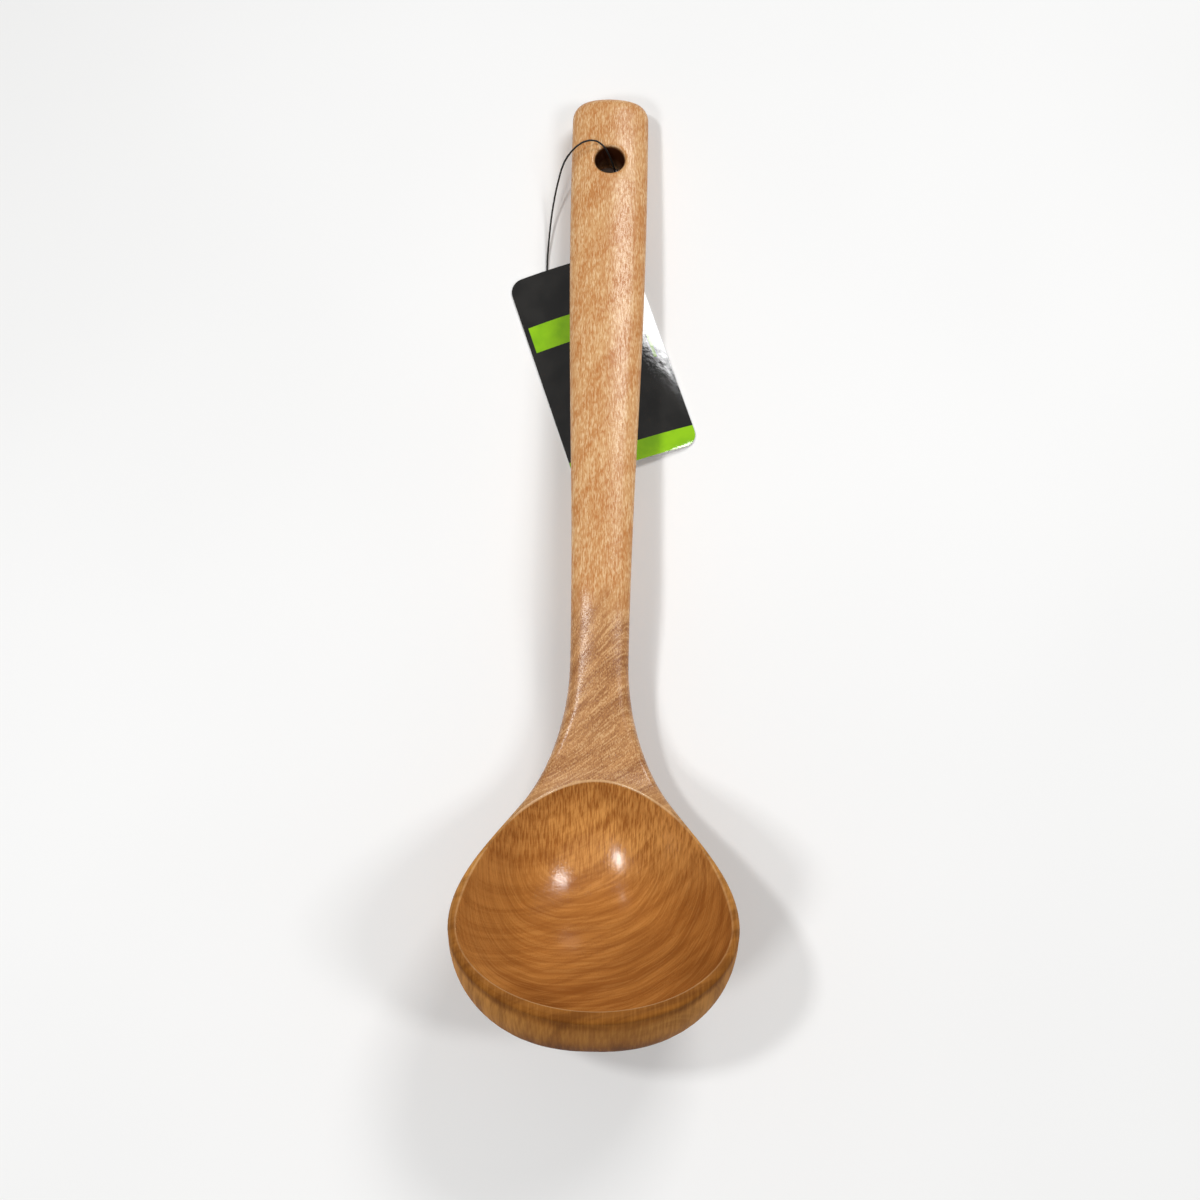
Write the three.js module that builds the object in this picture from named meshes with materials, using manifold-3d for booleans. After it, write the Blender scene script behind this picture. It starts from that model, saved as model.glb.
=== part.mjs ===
// Wooden wok spoon with its hang tag, in millimetres, +Z up.
// The spoon lies on a table at z = 0 with its handle along +Y: bowl and handle end touch the table.

import * as THREE from 'three';
import { mergeVertices } from 'three/addons/utils/BufferGeometryUtils.js';
import Module from 'manifold-3d';

const wasm = await Module();
wasm.setup();

const DEG = Math.PI / 180;

// Face of the spoon seen from the side: handle, bend, neck, bend, rim
const HANDLE_LENGTH = 191;
const NECK_LENGTH = 59.5;
const RIM_LENGTH = 91;
const NECK_DROP = 12 * DEG;
const NECK_BEND_RADIUS = 70;
const RIM_RISE = 43 * DEG;
const RIM_BEND_RADIUS = 27;

// Handle, from its end to the neck
const HANDLE_WIDTH = 27.6;
const HANDLE_THICKNESS = 15;
const HANDLE_EDGE_RADIUS = 5;
const HANDLE_CROWN = 15 * DEG;
const CROWN_START = 99;
const CROWN_FULL = 139;
const HANDLE_FULL_RUN = 20;
const HANDLE_HOLD = 90;
const END_CORNER_RADIUS = 8;
const END_EDGE_RADIUS = 4.5;
const NECK_WIDTH = 19.2;
const NECK_THICKNESS = 13;
const NECK_HOLD = 65;

// Bowl, in runs along the face from its tip
const BOWL_WIDTH = 86.4;
const BOWL_DEPTH = 45;
const WIDEST_RUN = 34.5;
const DEEPEST_RUN = 44.5;
const SHOULDER_RUN = 127;
const SHOULDER_HOLD = 30;
const SHOULDER_EASE = 44;
const KEEL_FULLNESS = 2.15;
const KEEL_RUN = 103;
const KEEL_HOLD = 30;
const KEEL_EASE = 22;
const LEAN_START = 57;
const LEAN_END = 119;
const BELLY_RUN = 71;
const BELLY_FULLNESS = 2.3;
const RIM_EDGE_RADIUS = 1.2;
const SOLE_SHARE = 0.04;
const BELLY_SHARE = 0.95;
const EDGE_SHARE = 0.4;

// Hollow of the bowl
const RIM_LAND = 2.5;
const TIP_LAND = 4;
const FLOOR_THICKNESS = 5.5;
const HOLLOW_LENGTH = 84.2;
const HOLLOW_FULLNESS = 2.1;
const HOLLOW_FRONT_FULLNESS = 2.4;
const HOLLOW_REAR_FULLNESS = 1.9;
const HOLLOW_SHOULDER = 1.6;

// Hanging hole
const HOLE_DIAMETER = 10.5;
const HOLE_SETBACK = 27;
const HOLE_EDGE_RADIUS = 1.5;

// Hang tag: a card arched across its width, hung by a punched hole
const TAG_WIDTH = 46;
const TAG_LENGTH = 79;
const TAG_THICKNESS = 0.5;
const TAG_CORNER_RADIUS = 5;
const TAG_ARCH = 2;
const TAG_LIFT = 0.1;
const TAG_TURN = 19.3 * DEG;
const TAG_HOLE_DIAMETER = 3.4;
const TAG_HOLE_SETBACK = 9.5;
const TAG_FROM_HOLE = [-11.1, -43.6];

// String loop and its knot
const STRING_DIAMETER = 0.9;
const KNOT_DIAMETER = 2.4;
const KNOT_WAIST = 0.2;
const SEAT_GAP = 0.3;

// Route of the string from the knot round to it again: across and along from the hanging hole,
// and up from the table. It goes down through the tag, up beside the handle, over its face,
// down through the hanging hole and back under the handle.
const STRING_ROUTE = [
  [-4.25, -21.4, 1.6], [-5.3, -23.8, 2.05], [-6.7, -27.4, 2.65], [-8.2, -32.4, 3.2],
  [-9.6, -37.4, 3.48], [-10.3, -40.6, 3.6], [-10.7, -42.4, 3.25], [-11, -43.5, 2.5],
  [-11.35, -44.6, 1.55], [-12.1, -45.9, 0.85], [-13.6, -46.7, 0.6], [-15.8, -46.5, 0.55],
  [-18.4, -45, 0.55], [-20.6, -42.4, 0.55], [-21.8, -38.8, 0.55], [-22, -33.1, 0.9],
  [-21.6, -25.1, 2], [-20.6, -15, 4.5], [-18.8, -6.15, 8.5], [-16.4, -0.2, 13.5],
  [-13.1, 2.7, 17.5], [-9.9, 4.6, 19], [-7, 5.55, 18.95], [-4.4, 5.55, 18.1],
  [-2.1, 4.3, 16.7], [-0.8, 3.7, 13.8], [0.3, 3.5, 10], [1.3, 2.8, 6.5],
  [2.1, 1.3, 3.6], [2.8, -0.4, 1.65], [3.2, -2.6, 0.8], [3, -5.4, 0.6],
  [2.2, -8.6, 0.65], [0.6, -12.2, 0.75], [-1.1, -15.4, 1], [-2.15, -17.65, 1.25],
];

// Length that a cutter stands proud of what it cuts, and the skim that keeps tangent faces apart
const CUT_OVERRUN = 8;
const SKIM = 0.05;

// Distances between sections, and facet counts
const HANDLE_STEP = 19;
const BEND_STEP = 3.8;
const SHOULDER_STEP = 2.9;
const FLANK_STEP = 4.5;
const CORNER_STEPS = 5;
const NOSE_STEPS = 11;
const HOLLOW_STEPS = 30;
const CROWN_STEPS = 3;
const EDGE_STEPS = 3;
const BELLY_STEPS = 11;
const HOLE_SIDES = 40;
const ROUND_STEPS = 4;
const ARCH_STEPS = 18;
const STRING_STEPS = 80;
const STRING_SIDES = 8;
const KNOT_STEPS = 10;
const KNOT_SIDES = 12;

// Halvings in a search, and how far from level the spoon may come to rest
const HALVINGS = 40;
const RESTING_LIMIT = 30 * DEG;

const { lerp, smoothstep } = THREE.MathUtils;

// Runs of the face as lengths and curvatures, a positive curvature rising towards the tip
const neckTangent = NECK_BEND_RADIUS * Math.tan(NECK_DROP / 2);
const rimTangent = RIM_BEND_RADIUS * Math.tan(RIM_RISE / 2);
const FACE_RUNS = [
  { length: HANDLE_LENGTH - neckTangent, curvature: 0 },
  { length: NECK_BEND_RADIUS * NECK_DROP, curvature: -1 / NECK_BEND_RADIUS },
  { length: NECK_LENGTH - neckTangent - rimTangent, curvature: 0 },
  { length: RIM_BEND_RADIUS * RIM_RISE, curvature: 1 / RIM_BEND_RADIUS },
  { length: RIM_LENGTH - rimTangent, curvature: 0 },
];
const FACE_LENGTH = FACE_RUNS.reduce((sum, run) => sum + run.length, 0);

// Point and slope of the face at a distance from the handle end
function faceAt(distance) {
  let y = 0;
  let z = 0;
  let slope = 0;
  let left = distance;
  for (const { length, curvature } of FACE_RUNS) {
    const step = Math.min(left, length);
    const turn = curvature * step;
    const chord = curvature ? 2 * Math.sin(turn / 2) / curvature : step;
    y -= chord * Math.cos(slope + turn / 2);
    z += chord * Math.sin(slope + turn / 2);
    slope += turn;
    left -= step;
  }
  return { y, z, slope };
}

// Evenly spaced values from one number to another, without the first
function spread(from, to, count) {
  return Array.from({ length: count }, (_, i) => lerp(from, to, (i + 1) / count));
}

// Value of a cubic Bezier curve with level ends, where its run reaches the given one
function ease(run, runs, from, to) {
  const bezier = (t, [a, b, c, d]) => {
    const u = 1 - t;
    return u * u * u * a + 3 * u * u * t * b + 3 * u * t * t * c + t * t * t * d;
  };
  let low = 0;
  let high = 1;
  for (let i = 0; i < HALVINGS; i += 1) {
    const middle = (low + high) / 2;
    if (bezier(middle, runs) < run) low = middle;
    else high = middle;
  }
  return bezier(low, [from, from, to, to]);
}

// Height of a quarter superellipse of unit size at a share of its base
function quarter(share, fullness = 2) {
  return Math.pow(Math.max(0, 1 - Math.pow(Math.max(0, share), fullness)), 1 / fullness);
}

// Distance that a rounded end draws in at a distance from that end
function roundedEnd(distance, radius) {
  return radius * (1 - quarter(1 - Math.min(1, distance / radius)));
}

// Half the spoon's width at a distance from the handle end
function halfWidthAt(distance) {
  const run = FACE_LENGTH - distance;
  if (run < WIDEST_RUN) return BOWL_WIDTH / 2 * quarter(1 - run / WIDEST_RUN);
  if (run < SHOULDER_RUN) {
    const runs = [WIDEST_RUN, WIDEST_RUN + SHOULDER_HOLD, SHOULDER_RUN - SHOULDER_EASE, SHOULDER_RUN];
    return ease(run, runs, BOWL_WIDTH / 2, NECK_WIDTH / 2);
  }
  const neck = FACE_LENGTH - SHOULDER_RUN;
  const runs = [HANDLE_FULL_RUN, HANDLE_FULL_RUN + HANDLE_HOLD, neck - NECK_HOLD, neck];
  return ease(distance, runs, HANDLE_WIDTH / 2, NECK_WIDTH / 2)
    - roundedEnd(distance, END_CORNER_RADIUS);
}

// Depth from the face to the underside at a distance from the handle end
function depthAt(distance) {
  const run = FACE_LENGTH - distance;
  if (run < DEEPEST_RUN) return BOWL_DEPTH * quarter(1 - run / DEEPEST_RUN, KEEL_FULLNESS);
  if (run < KEEL_RUN) {
    const runs = [DEEPEST_RUN, DEEPEST_RUN + KEEL_HOLD, KEEL_RUN - KEEL_EASE, KEEL_RUN];
    return ease(run, runs, BOWL_DEPTH, NECK_THICKNESS);
  }
  return lerp(HANDLE_THICKNESS, NECK_THICKNESS, distance / (FACE_LENGTH - KEEL_RUN));
}

// Quarter arc between two levels of a section, from its side to its middle
function corner(side, level, across, up, fullness, steps) {
  return [0, ...spread(0, Math.PI / 2, steps)].map((angle) => [
    side - across * (1 - Math.pow(Math.max(0, Math.cos(angle)), 2 / fullness)),
    level - up * Math.pow(Math.sin(angle), 2 / fullness),
  ]);
}

// Closed outline from one half of it, listed from the face to the underside
function mirrored(half) {
  return [...half, ...half.map(([x, level]) => [-x, level]).reverse()];
}

// Upper half of a section: its crowned face, and an edge that turns smoothly from it to the side
function crownedTop(side, edge, slope) {
  const reach = side - edge;
  const crown = slope * reach / 2;
  const turned = slope * edge / (edge - crown - slope * edge);
  const start = Math.asin(turned);
  const across = edge / (1 - turned);
  const up = (edge - crown) / Math.cos(start);
  const face = spread(0, reach, CROWN_STEPS).slice(0, -1)
    .map((x) => [x, -slope * x * x / (2 * reach)]);
  const round = [start, ...spread(start, Math.PI / 2, EDGE_STEPS)]
    .map((angle) => [side - across * (1 - Math.sin(angle)), up * Math.cos(angle) - edge]);
  return [...face, ...round];
}

// Section of the spoon: crowned face and rounded edges above, round belly below
function spoonOutline(distance) {
  const run = FACE_LENGTH - distance;
  const bowl = 1 - smoothstep(run, BELLY_RUN, SHOULDER_RUN);
  const inset = roundedEnd(distance, END_EDGE_RADIUS);
  const side = Math.max(halfWidthAt(distance), SKIM);
  const top = -inset;
  const height = Math.max(depthAt(distance) - 2 * inset, SKIM);
  const wanted = lerp(HANDLE_EDGE_RADIUS, RIM_EDGE_RADIUS, bowl);
  const edge = Math.min(wanted, EDGE_SHARE * side, EDGE_SHARE * height);
  const belly = BELLY_SHARE * (height - edge);
  const across = lerp(edge, (1 - SOLE_SHARE) * side, bowl);
  const up = lerp(edge, belly, bowl);
  const fullness = lerp(2, BELLY_FULLNESS, bowl);
  const slope = Math.tan(HANDLE_CROWN) * smoothstep(run, CROWN_START, CROWN_FULL);
  const upper = crownedTop(side, edge, slope).map(([x, level]) => [x, top + level]);
  const lower = corner(side, top - height + up, across, up, fullness, BELLY_STEPS);
  return mirrored([...upper, ...lower]);
}

// Section of the hollow's cutter, standing proud of the rim
function hollowOutline(run) {
  const widest = WIDEST_RUN - TIP_LAND;
  const deepest = DEEPEST_RUN - TIP_LAND;
  const rear = (run - widest) / (HOLLOW_LENGTH - widest);
  const plan = run < widest
    ? quarter(1 - run / widest)
    : Math.sqrt(1 - Math.pow(rear, HOLLOW_SHOULDER));
  const sink = run < deepest
    ? quarter(1 - run / deepest, HOLLOW_FRONT_FULLNESS)
    : quarter((run - deepest) / (HOLLOW_LENGTH - deepest), HOLLOW_REAR_FULLNESS);
  const side = Math.max((BOWL_WIDTH / 2 - RIM_LAND) * plan, SKIM);
  const depth = Math.max((BOWL_DEPTH - FLOOR_THICKNESS) * sink, SKIM);
  const lower = corner(side, 0, (1 - SOLE_SHARE) * side, depth, HOLLOW_FULLNESS, BELLY_STEPS);
  return mirrored([[side, CUT_OVERRUN], ...lower]);
}

// Lean of a section: square to the face, and turning evenly from the neck to the bowl
function leanAt(distance) {
  const run = FACE_LENGTH - distance;
  if (run > LEAN_END) return faceAt(distance).slope;
  return lerp(RIM_RISE - NECK_DROP, -NECK_DROP, smoothstep(run, LEAN_START, LEAN_END));
}

// Section outline set on the face at a distance from the handle end
function setOnFace(outline, distance) {
  const { y, z } = faceAt(distance);
  const lean = leanAt(distance);
  return outline.map(([x, level]) => new THREE.Vector3(
    x,
    y + level * Math.sin(lean),
    z + level * Math.cos(lean),
  ));
}

// Closed skin over sections with the same number of points
function loft(sections) {
  const size = sections[0].length;
  const points = sections.flat();
  const index = [];
  for (let row = 0; row < sections.length - 1; row += 1) {
    for (let i = 0; i < size; i += 1) {
      const a = row * size + i;
      const b = row * size + (i + 1) % size;
      index.push(b, a, a + size, b, a + size, b + size);
    }
  }
  const middle = (section) => section
    .reduce((sum, point) => sum.add(point), new THREE.Vector3())
    .divideScalar(size);
  const last = points.length - size;
  const first = points.push(middle(sections[0])) - 1;
  const final = points.push(middle(sections.at(-1))) - 1;
  for (let i = 0; i < size; i += 1) {
    const next = (i + 1) % size;
    index.push(first, i, next, final, last + next, last + i);
  }
  const geometry = new THREE.BufferGeometry().setFromPoints(points);
  geometry.setIndex(index);
  return geometry;
}

// Solid for joining and cutting, from a closed geometry
function toSolid(geometry) {
  const bare = geometry.clone();
  bare.deleteAttribute('normal');
  bare.deleteAttribute('uv');
  const merged = mergeVertices(bare);
  return new wasm.Manifold(new wasm.Mesh({
    numProp: 3,
    vertProperties: new Float32Array(merged.attributes.position.array),
    triVerts: new Uint32Array(merged.index.array),
  }));
}

// Geometry of a finished solid
function toGeometry(solid) {
  const mesh = solid.getMesh();
  const geometry = new THREE.BufferGeometry();
  geometry.setAttribute('position', new THREE.BufferAttribute(mesh.vertProperties, 3));
  geometry.setIndex(new THREE.BufferAttribute(mesh.triVerts, 1));
  geometry.computeVertexNormals();
  return geometry;
}

// Distances of the spoon's sections, close together where its skin turns
function stations() {
  const neckStart = HANDLE_LENGTH - neckTangent;
  const widest = FACE_LENGTH - WIDEST_RUN;
  const zones = [
    { end: neckStart, step: HANDLE_STEP },
    { end: neckStart + FACE_RUNS[1].length, step: BEND_STEP },
    { end: FACE_LENGTH - SHOULDER_RUN, step: HANDLE_STEP },
    { end: widest - SHOULDER_HOLD, step: SHOULDER_STEP },
    { end: widest, step: FLANK_STEP },
  ];
  const turns = spread(0, Math.PI / 2, CORNER_STEPS);
  const distances = [0, ...turns.map((angle) => END_CORNER_RADIUS * (1 - Math.cos(angle)))];
  for (const { end, step } of zones) {
    const from = distances.at(-1);
    const count = Math.max(0, Math.ceil((end - from) / step));
    distances.push(...spread(from, end, count));
  }
  const nose = spread(0, Math.PI / 2, NOSE_STEPS);
  return [...distances, ...nose.map((angle) => widest + WIDEST_RUN * Math.sin(angle))];
}

// Blank of the spoon before hollowing: handle, neck and bowl as one skin
function spoonBlank() {
  return loft(stations().map((distance) => setOnFace(spoonOutline(distance), distance)));
}

// Cutter for the hollow, along the rim from the tip to the handle side
function hollowCutter() {
  const turns = [0, ...spread(0, Math.PI, HOLLOW_STEPS)];
  const runs = turns.map((angle) => HOLLOW_LENGTH * (1 - Math.cos(angle)) / 2);
  const rim = faceAt(FACE_LENGTH);
  const sections = runs.map((run) => hollowOutline(run).map(([x, level]) => {
    const back = TIP_LAND + run;
    return new THREE.Vector3(
      x,
      rim.y + back * Math.cos(rim.slope) + level * Math.sin(rim.slope),
      rim.z - back * Math.sin(rim.slope) + level * Math.cos(rim.slope),
    );
  }));
  return loft(sections.reverse());
}

// Cutter for the hanging hole, flared at both faces to leave rounded edges
function holeCutter() {
  const radius = HOLE_DIAMETER / 2;
  const mouth = radius + HOLE_EDGE_RADIUS;
  const back = -depthAt(HOLE_SETBACK) - SKIM;
  const flare = spread(0, Math.PI / 2, ROUND_STEPS).map((angle) => ({
    out: mouth - HOLE_EDGE_RADIUS * Math.cos(angle),
    rise: HOLE_EDGE_RADIUS * (1 - Math.sin(angle)),
  }));
  const profile = [
    new THREE.Vector2(0, back - CUT_OVERRUN),
    new THREE.Vector2(mouth, back - CUT_OVERRUN),
    ...flare.toReversed().map(({ out, rise }) => new THREE.Vector2(out, back + rise)),
    new THREE.Vector2(radius, back + HOLE_EDGE_RADIUS),
    new THREE.Vector2(radius, SKIM - HOLE_EDGE_RADIUS),
    ...flare.map(({ out, rise }) => new THREE.Vector2(out, SKIM - rise)),
    new THREE.Vector2(mouth, CUT_OVERRUN),
    new THREE.Vector2(0, CUT_OVERRUN),
  ];
  return new THREE.LatheGeometry(profile, HOLE_SIDES)
    .rotateX(Math.PI / 2)
    .translate(0, -HOLE_SETBACK, 0);
}

// Tilt that lays a spoon on a level table, with its handle and its bowl as low as each other
function restingTilt(geometry) {
  const { position } = geometry.attributes;
  const waist = faceAt(FACE_LENGTH - SHOULDER_RUN).y;
  const lowest = (tilt) => {
    const low = { handle: Infinity, bowl: Infinity };
    for (let i = 0; i < position.count; i += 1) {
      const height = position.getY(i) * Math.sin(tilt) + position.getZ(i) * Math.cos(tilt);
      const part = position.getY(i) > waist ? 'handle' : 'bowl';
      low[part] = Math.min(low[part], height);
    }
    return low.handle - low.bowl;
  };
  let down = -RESTING_LIMIT;
  let up = RESTING_LIMIT;
  for (let i = 0; i < HALVINGS; i += 1) {
    const middle = (down + up) / 2;
    if (lowest(middle) < 0) down = middle;
    else up = middle;
  }
  return down;
}

// Card sheet curved to an arch across its width, longer than the tag at both ends
function archedSheet() {
  const half = TAG_WIDTH / 2;
  const radius = (half * half + TAG_ARCH * TAG_ARCH) / (2 * TAG_ARCH);
  const reach = (half + CUT_OVERRUN) / radius;
  const up = Math.PI / 2;
  const profile = new THREE.Shape()
    .absarc(0, TAG_ARCH - radius, radius + TAG_THICKNESS, up - reach, up + reach, false)
    .absarc(0, TAG_ARCH - radius, radius, up + reach, up - reach, true);
  const depth = TAG_LENGTH + 2 * CUT_OVERRUN;
  return new THREE.ExtrudeGeometry(profile, { depth, bevelEnabled: false, curveSegments: ARCH_STEPS })
    .rotateX(Math.PI / 2)
    .translate(0, TAG_HOLE_SETBACK + CUT_OVERRUN, 0);
}

// Outline of the tag as a punch: round corners, and the hole at the origin
function tagPunch() {
  const side = TAG_WIDTH / 2;
  const top = TAG_HOLE_SETBACK;
  const bottom = TAG_HOLE_SETBACK - TAG_LENGTH;
  const inner = TAG_CORNER_RADIUS;
  const outline = new THREE.Shape()
    .absarc(side - inner, top - inner, inner, 0, Math.PI / 2, false)
    .absarc(inner - side, top - inner, inner, Math.PI / 2, Math.PI, false)
    .absarc(inner - side, bottom + inner, inner, Math.PI, 1.5 * Math.PI, false)
    .absarc(side - inner, bottom + inner, inner, 1.5 * Math.PI, 2 * Math.PI, false);
  outline.holes.push(new THREE.Path().absarc(0, 0, TAG_HOLE_DIAMETER / 2, 0, 2 * Math.PI, true));
  const depth = TAG_ARCH + 2 * CUT_OVERRUN;
  return new THREE.ExtrudeGeometry(outline, { depth, bevelEnabled: false, curveSegments: ARCH_STEPS })
    .translate(0, 0, -CUT_OVERRUN);
}

// Round string along a smooth curve through its route
function stringTube(route) {
  const turn = 2 * Math.PI / STRING_SIDES;
  const section = new THREE.Shape(Array.from({ length: STRING_SIDES }, (_, i) => new THREE.Vector2(
    STRING_DIAMETER / 2 * Math.cos(i * turn),
    STRING_DIAMETER / 2 * Math.sin(i * turn),
  )));
  const extrudePath = new THREE.CatmullRomCurve3(route);
  return new THREE.ExtrudeGeometry(section, { steps: STRING_STEPS, extrudePath, bevelEnabled: false });
}

// Tied knot as a bead with a drawn-in waist, along the string between its two ends
function knotBead(length) {
  const profile = Array.from({ length: KNOT_STEPS + 1 }, (_, i) => {
    const along = -Math.cos(Math.PI * i / KNOT_STEPS);
    const swell = Math.sin(Math.PI * i / KNOT_STEPS);
    const waist = 1 - KNOT_WAIST * Math.pow(swell, 4);
    return new THREE.Vector2(KNOT_DIAMETER / 2 / (1 - KNOT_WAIST) * swell * waist, along * length / 2);
  });
  return new THREE.LatheGeometry(profile, KNOT_SIDES);
}

function material(colour, roughness) {
  return new THREE.MeshStandardMaterial({ color: colour, roughness, metalness: 0 });
}

const WOOD = material(0xc98f57, 0.42);
const CARD = material(0x262422, 0.22);
const CORD = material(0x15130f, 0.75);

function named(name, geometry, finish) {
  const mesh = new THREE.Mesh(geometry, finish);
  mesh.name = name;
  return mesh;
}

const part = new THREE.Group();

// Spoon, laid on the table with its box centred over the origin
const spoonGeometry = toGeometry(
  toSolid(spoonBlank()).subtract(toSolid(hollowCutter())).subtract(toSolid(holeCutter())),
);
const spoon = named('spoon_body', spoonGeometry, WOOD);
spoon.rotation.x = restingTilt(spoonGeometry);
const spoonBox = new THREE.Box3().setFromObject(spoon, true);
spoon.position.y = -(spoonBox.min.y + spoonBox.max.y) / 2;
spoon.position.z = -spoonBox.min.z;
spoon.updateMatrixWorld();
part.add(spoon);

// Tag and string, placed from the hanging hole
const hole = spoon.localToWorld(new THREE.Vector3(0, -HOLE_SETBACK, 0)).setZ(0);

const tag = named('hang_tag', toGeometry(toSolid(archedSheet()).intersect(toSolid(tagPunch()))), CARD);
tag.position.set(TAG_FROM_HOLE[0], TAG_FROM_HOLE[1], TAG_LIFT).add(hole);
tag.rotation.z = TAG_TURN;
part.add(tag);

const route = STRING_ROUTE.map(([across, along, up]) => new THREE.Vector3(across, along, up));
const loop = named('tag_string', stringTube(route), CORD);
loop.position.copy(hole);
part.add(loop);

const tie = new THREE.Vector3().subVectors(route.at(-1), route[0]);
const knot = named('string_knot', knotBead(tie.length() - 2 * SEAT_GAP), CORD);
knot.quaternion.setFromUnitVectors(new THREE.Vector3(0, 1, 0), tie.clone().normalize());
knot.position.copy(route[0]).addScaledVector(tie, 0.5).add(hole);
part.add(knot);

export default part;
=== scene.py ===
"""Wooden wok spoon with a hang tag on a string, dressed over its CAD frame on a pale floor."""

import logging
import math
from collections.abc import Iterable, Mapping, Sequence
from dataclasses import asdict, astuple, dataclass, field
from enum import Enum
from itertools import repeat

import bmesh
import bpy
from mathutils import Matrix, Vector


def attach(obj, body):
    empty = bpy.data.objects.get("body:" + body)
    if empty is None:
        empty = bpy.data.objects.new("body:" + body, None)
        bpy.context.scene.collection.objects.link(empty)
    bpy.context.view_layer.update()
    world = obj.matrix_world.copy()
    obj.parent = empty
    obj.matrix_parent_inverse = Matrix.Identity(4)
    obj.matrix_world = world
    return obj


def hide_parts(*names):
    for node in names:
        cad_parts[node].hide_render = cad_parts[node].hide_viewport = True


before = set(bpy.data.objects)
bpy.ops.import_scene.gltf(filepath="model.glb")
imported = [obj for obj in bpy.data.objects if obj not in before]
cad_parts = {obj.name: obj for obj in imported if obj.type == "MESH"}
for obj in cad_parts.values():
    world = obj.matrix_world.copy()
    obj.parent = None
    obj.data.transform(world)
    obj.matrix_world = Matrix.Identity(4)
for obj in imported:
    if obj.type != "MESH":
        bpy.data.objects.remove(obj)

LOG = logging.getLogger("wok_spoon")
MM = 0.001
TINY = 1e-6
HALVINGS = 40
SHARP_ANGLE = math.radians(50)

Colour = tuple[float, float, float]
Point = tuple[float, float, float]
Plan = tuple[float, float]
Span = tuple[float, float]
Outline = list[tuple[float, float, float, float]]


def lerp(start: float, end: float, share: float) -> float:
    """Value at a share of the way from start to end."""
    return start + (end - start) * share


def smoothstep(value: float, low: float, high: float) -> float:
    """Share of the way from low to high, with level ends."""
    share = min(1.0, max(0.0, (value - low) / (high - low)))
    return share * share * (3 - 2 * share)


def spread(start: float, end: float, steps: int) -> list[float]:
    """Evenly spaced values from start to end, both included."""
    return [lerp(start, end, i / steps) for i in range(steps + 1)]


def quarter(share: float, fullness: float = 2.0) -> float:
    """Height of a quarter superellipse of unit size at a share of its base."""
    return max(0.0, 1 - max(0.0, share) ** fullness) ** (1 / fullness)


def ease(run: float, runs: Sequence[float], start: float, end: float) -> float:
    """Value of a cubic Bezier curve with level ends where its run reaches the given one.

    Args:
        run: Run at which the value is wanted.
        runs: The four runs of the curve's control points.
        start: Value at the first run.
        end: Value at the last run.

    Returns:
        The value, between start and end.
    """

    def bezier(t: float, a: float, b: float, c: float, d: float) -> float:
        """Point of the curve at its parameter t."""
        u = 1 - t
        return u * u * u * a + 3 * u * u * t * b + 3 * u * t * t * c + t * t * t * d

    low, high = 0.0, 1.0
    for _ in range(HALVINGS):
        middle = (low + high) / 2
        if bezier(middle, *runs) < run:
            low = middle
        else:
            high = middle
    return bezier(low, start, start, end, end)


def resample(line: Sequence[Plan], places: Sequence[float]) -> list[Plan]:
    """Points of a line at given lengths along it.

    Args:
        line: Points of the line.
        places: Rising lengths from its first point.

    Returns:
        One point for each length.
    """
    lengths = [0.0]
    for (ax, ay), (bx, by) in zip(line, line[1:]):
        lengths.append(lengths[-1] + math.hypot(bx - ax, by - ay))
    points = []
    at = 0
    for place in places:
        while at < len(line) - 2 and lengths[at + 1] < place:
            at += 1
        gap = max(lengths[at + 1] - lengths[at], TINY)
        share = min(1.0, max(0.0, (place - lengths[at]) / gap))
        (ax, ay), (bx, by) = line[at], line[at + 1]
        points.append((lerp(ax, bx, share), lerp(ay, by, share)))
    return points


def quarter_turns(steps: int) -> list[float]:
    """Angles of a quarter turn in even steps."""
    return spread(0, math.pi / 2, steps)


def rounded(radius: float, steps: int) -> list[Plan]:
    """Reach before the end and fall from the start of a quarter round, in even steps of its turn."""
    return [(radius * (1 - math.sin(a)), radius * (1 - math.cos(a))) for a in quarter_turns(steps)]


def border(rows: Sequence[Sequence[int]]) -> list[int]:
    """Point numbers round a block of rows.

    Args:
        rows: Point numbers of each row.

    Returns:
        The numbers on the block's four sides, in order.
    """
    ends = [row[-1] for row in rows[1:-1]]
    starts = [row[0] for row in rows[-2:0:-1]]
    return [*rows[0], *ends, *rows[-1][::-1], *starts]


class Mark(Enum):
    """Shares stored at the points of a mesh for its finish to read."""

    HOLLOW = "hollow"
    # Wear on the rounded edges of the rim, with a painted highlight.
    WEAR = "wear"
    # Painted shade inside the hanging hole and on the front of the bowl's rim.
    STAIN = "stain"


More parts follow.
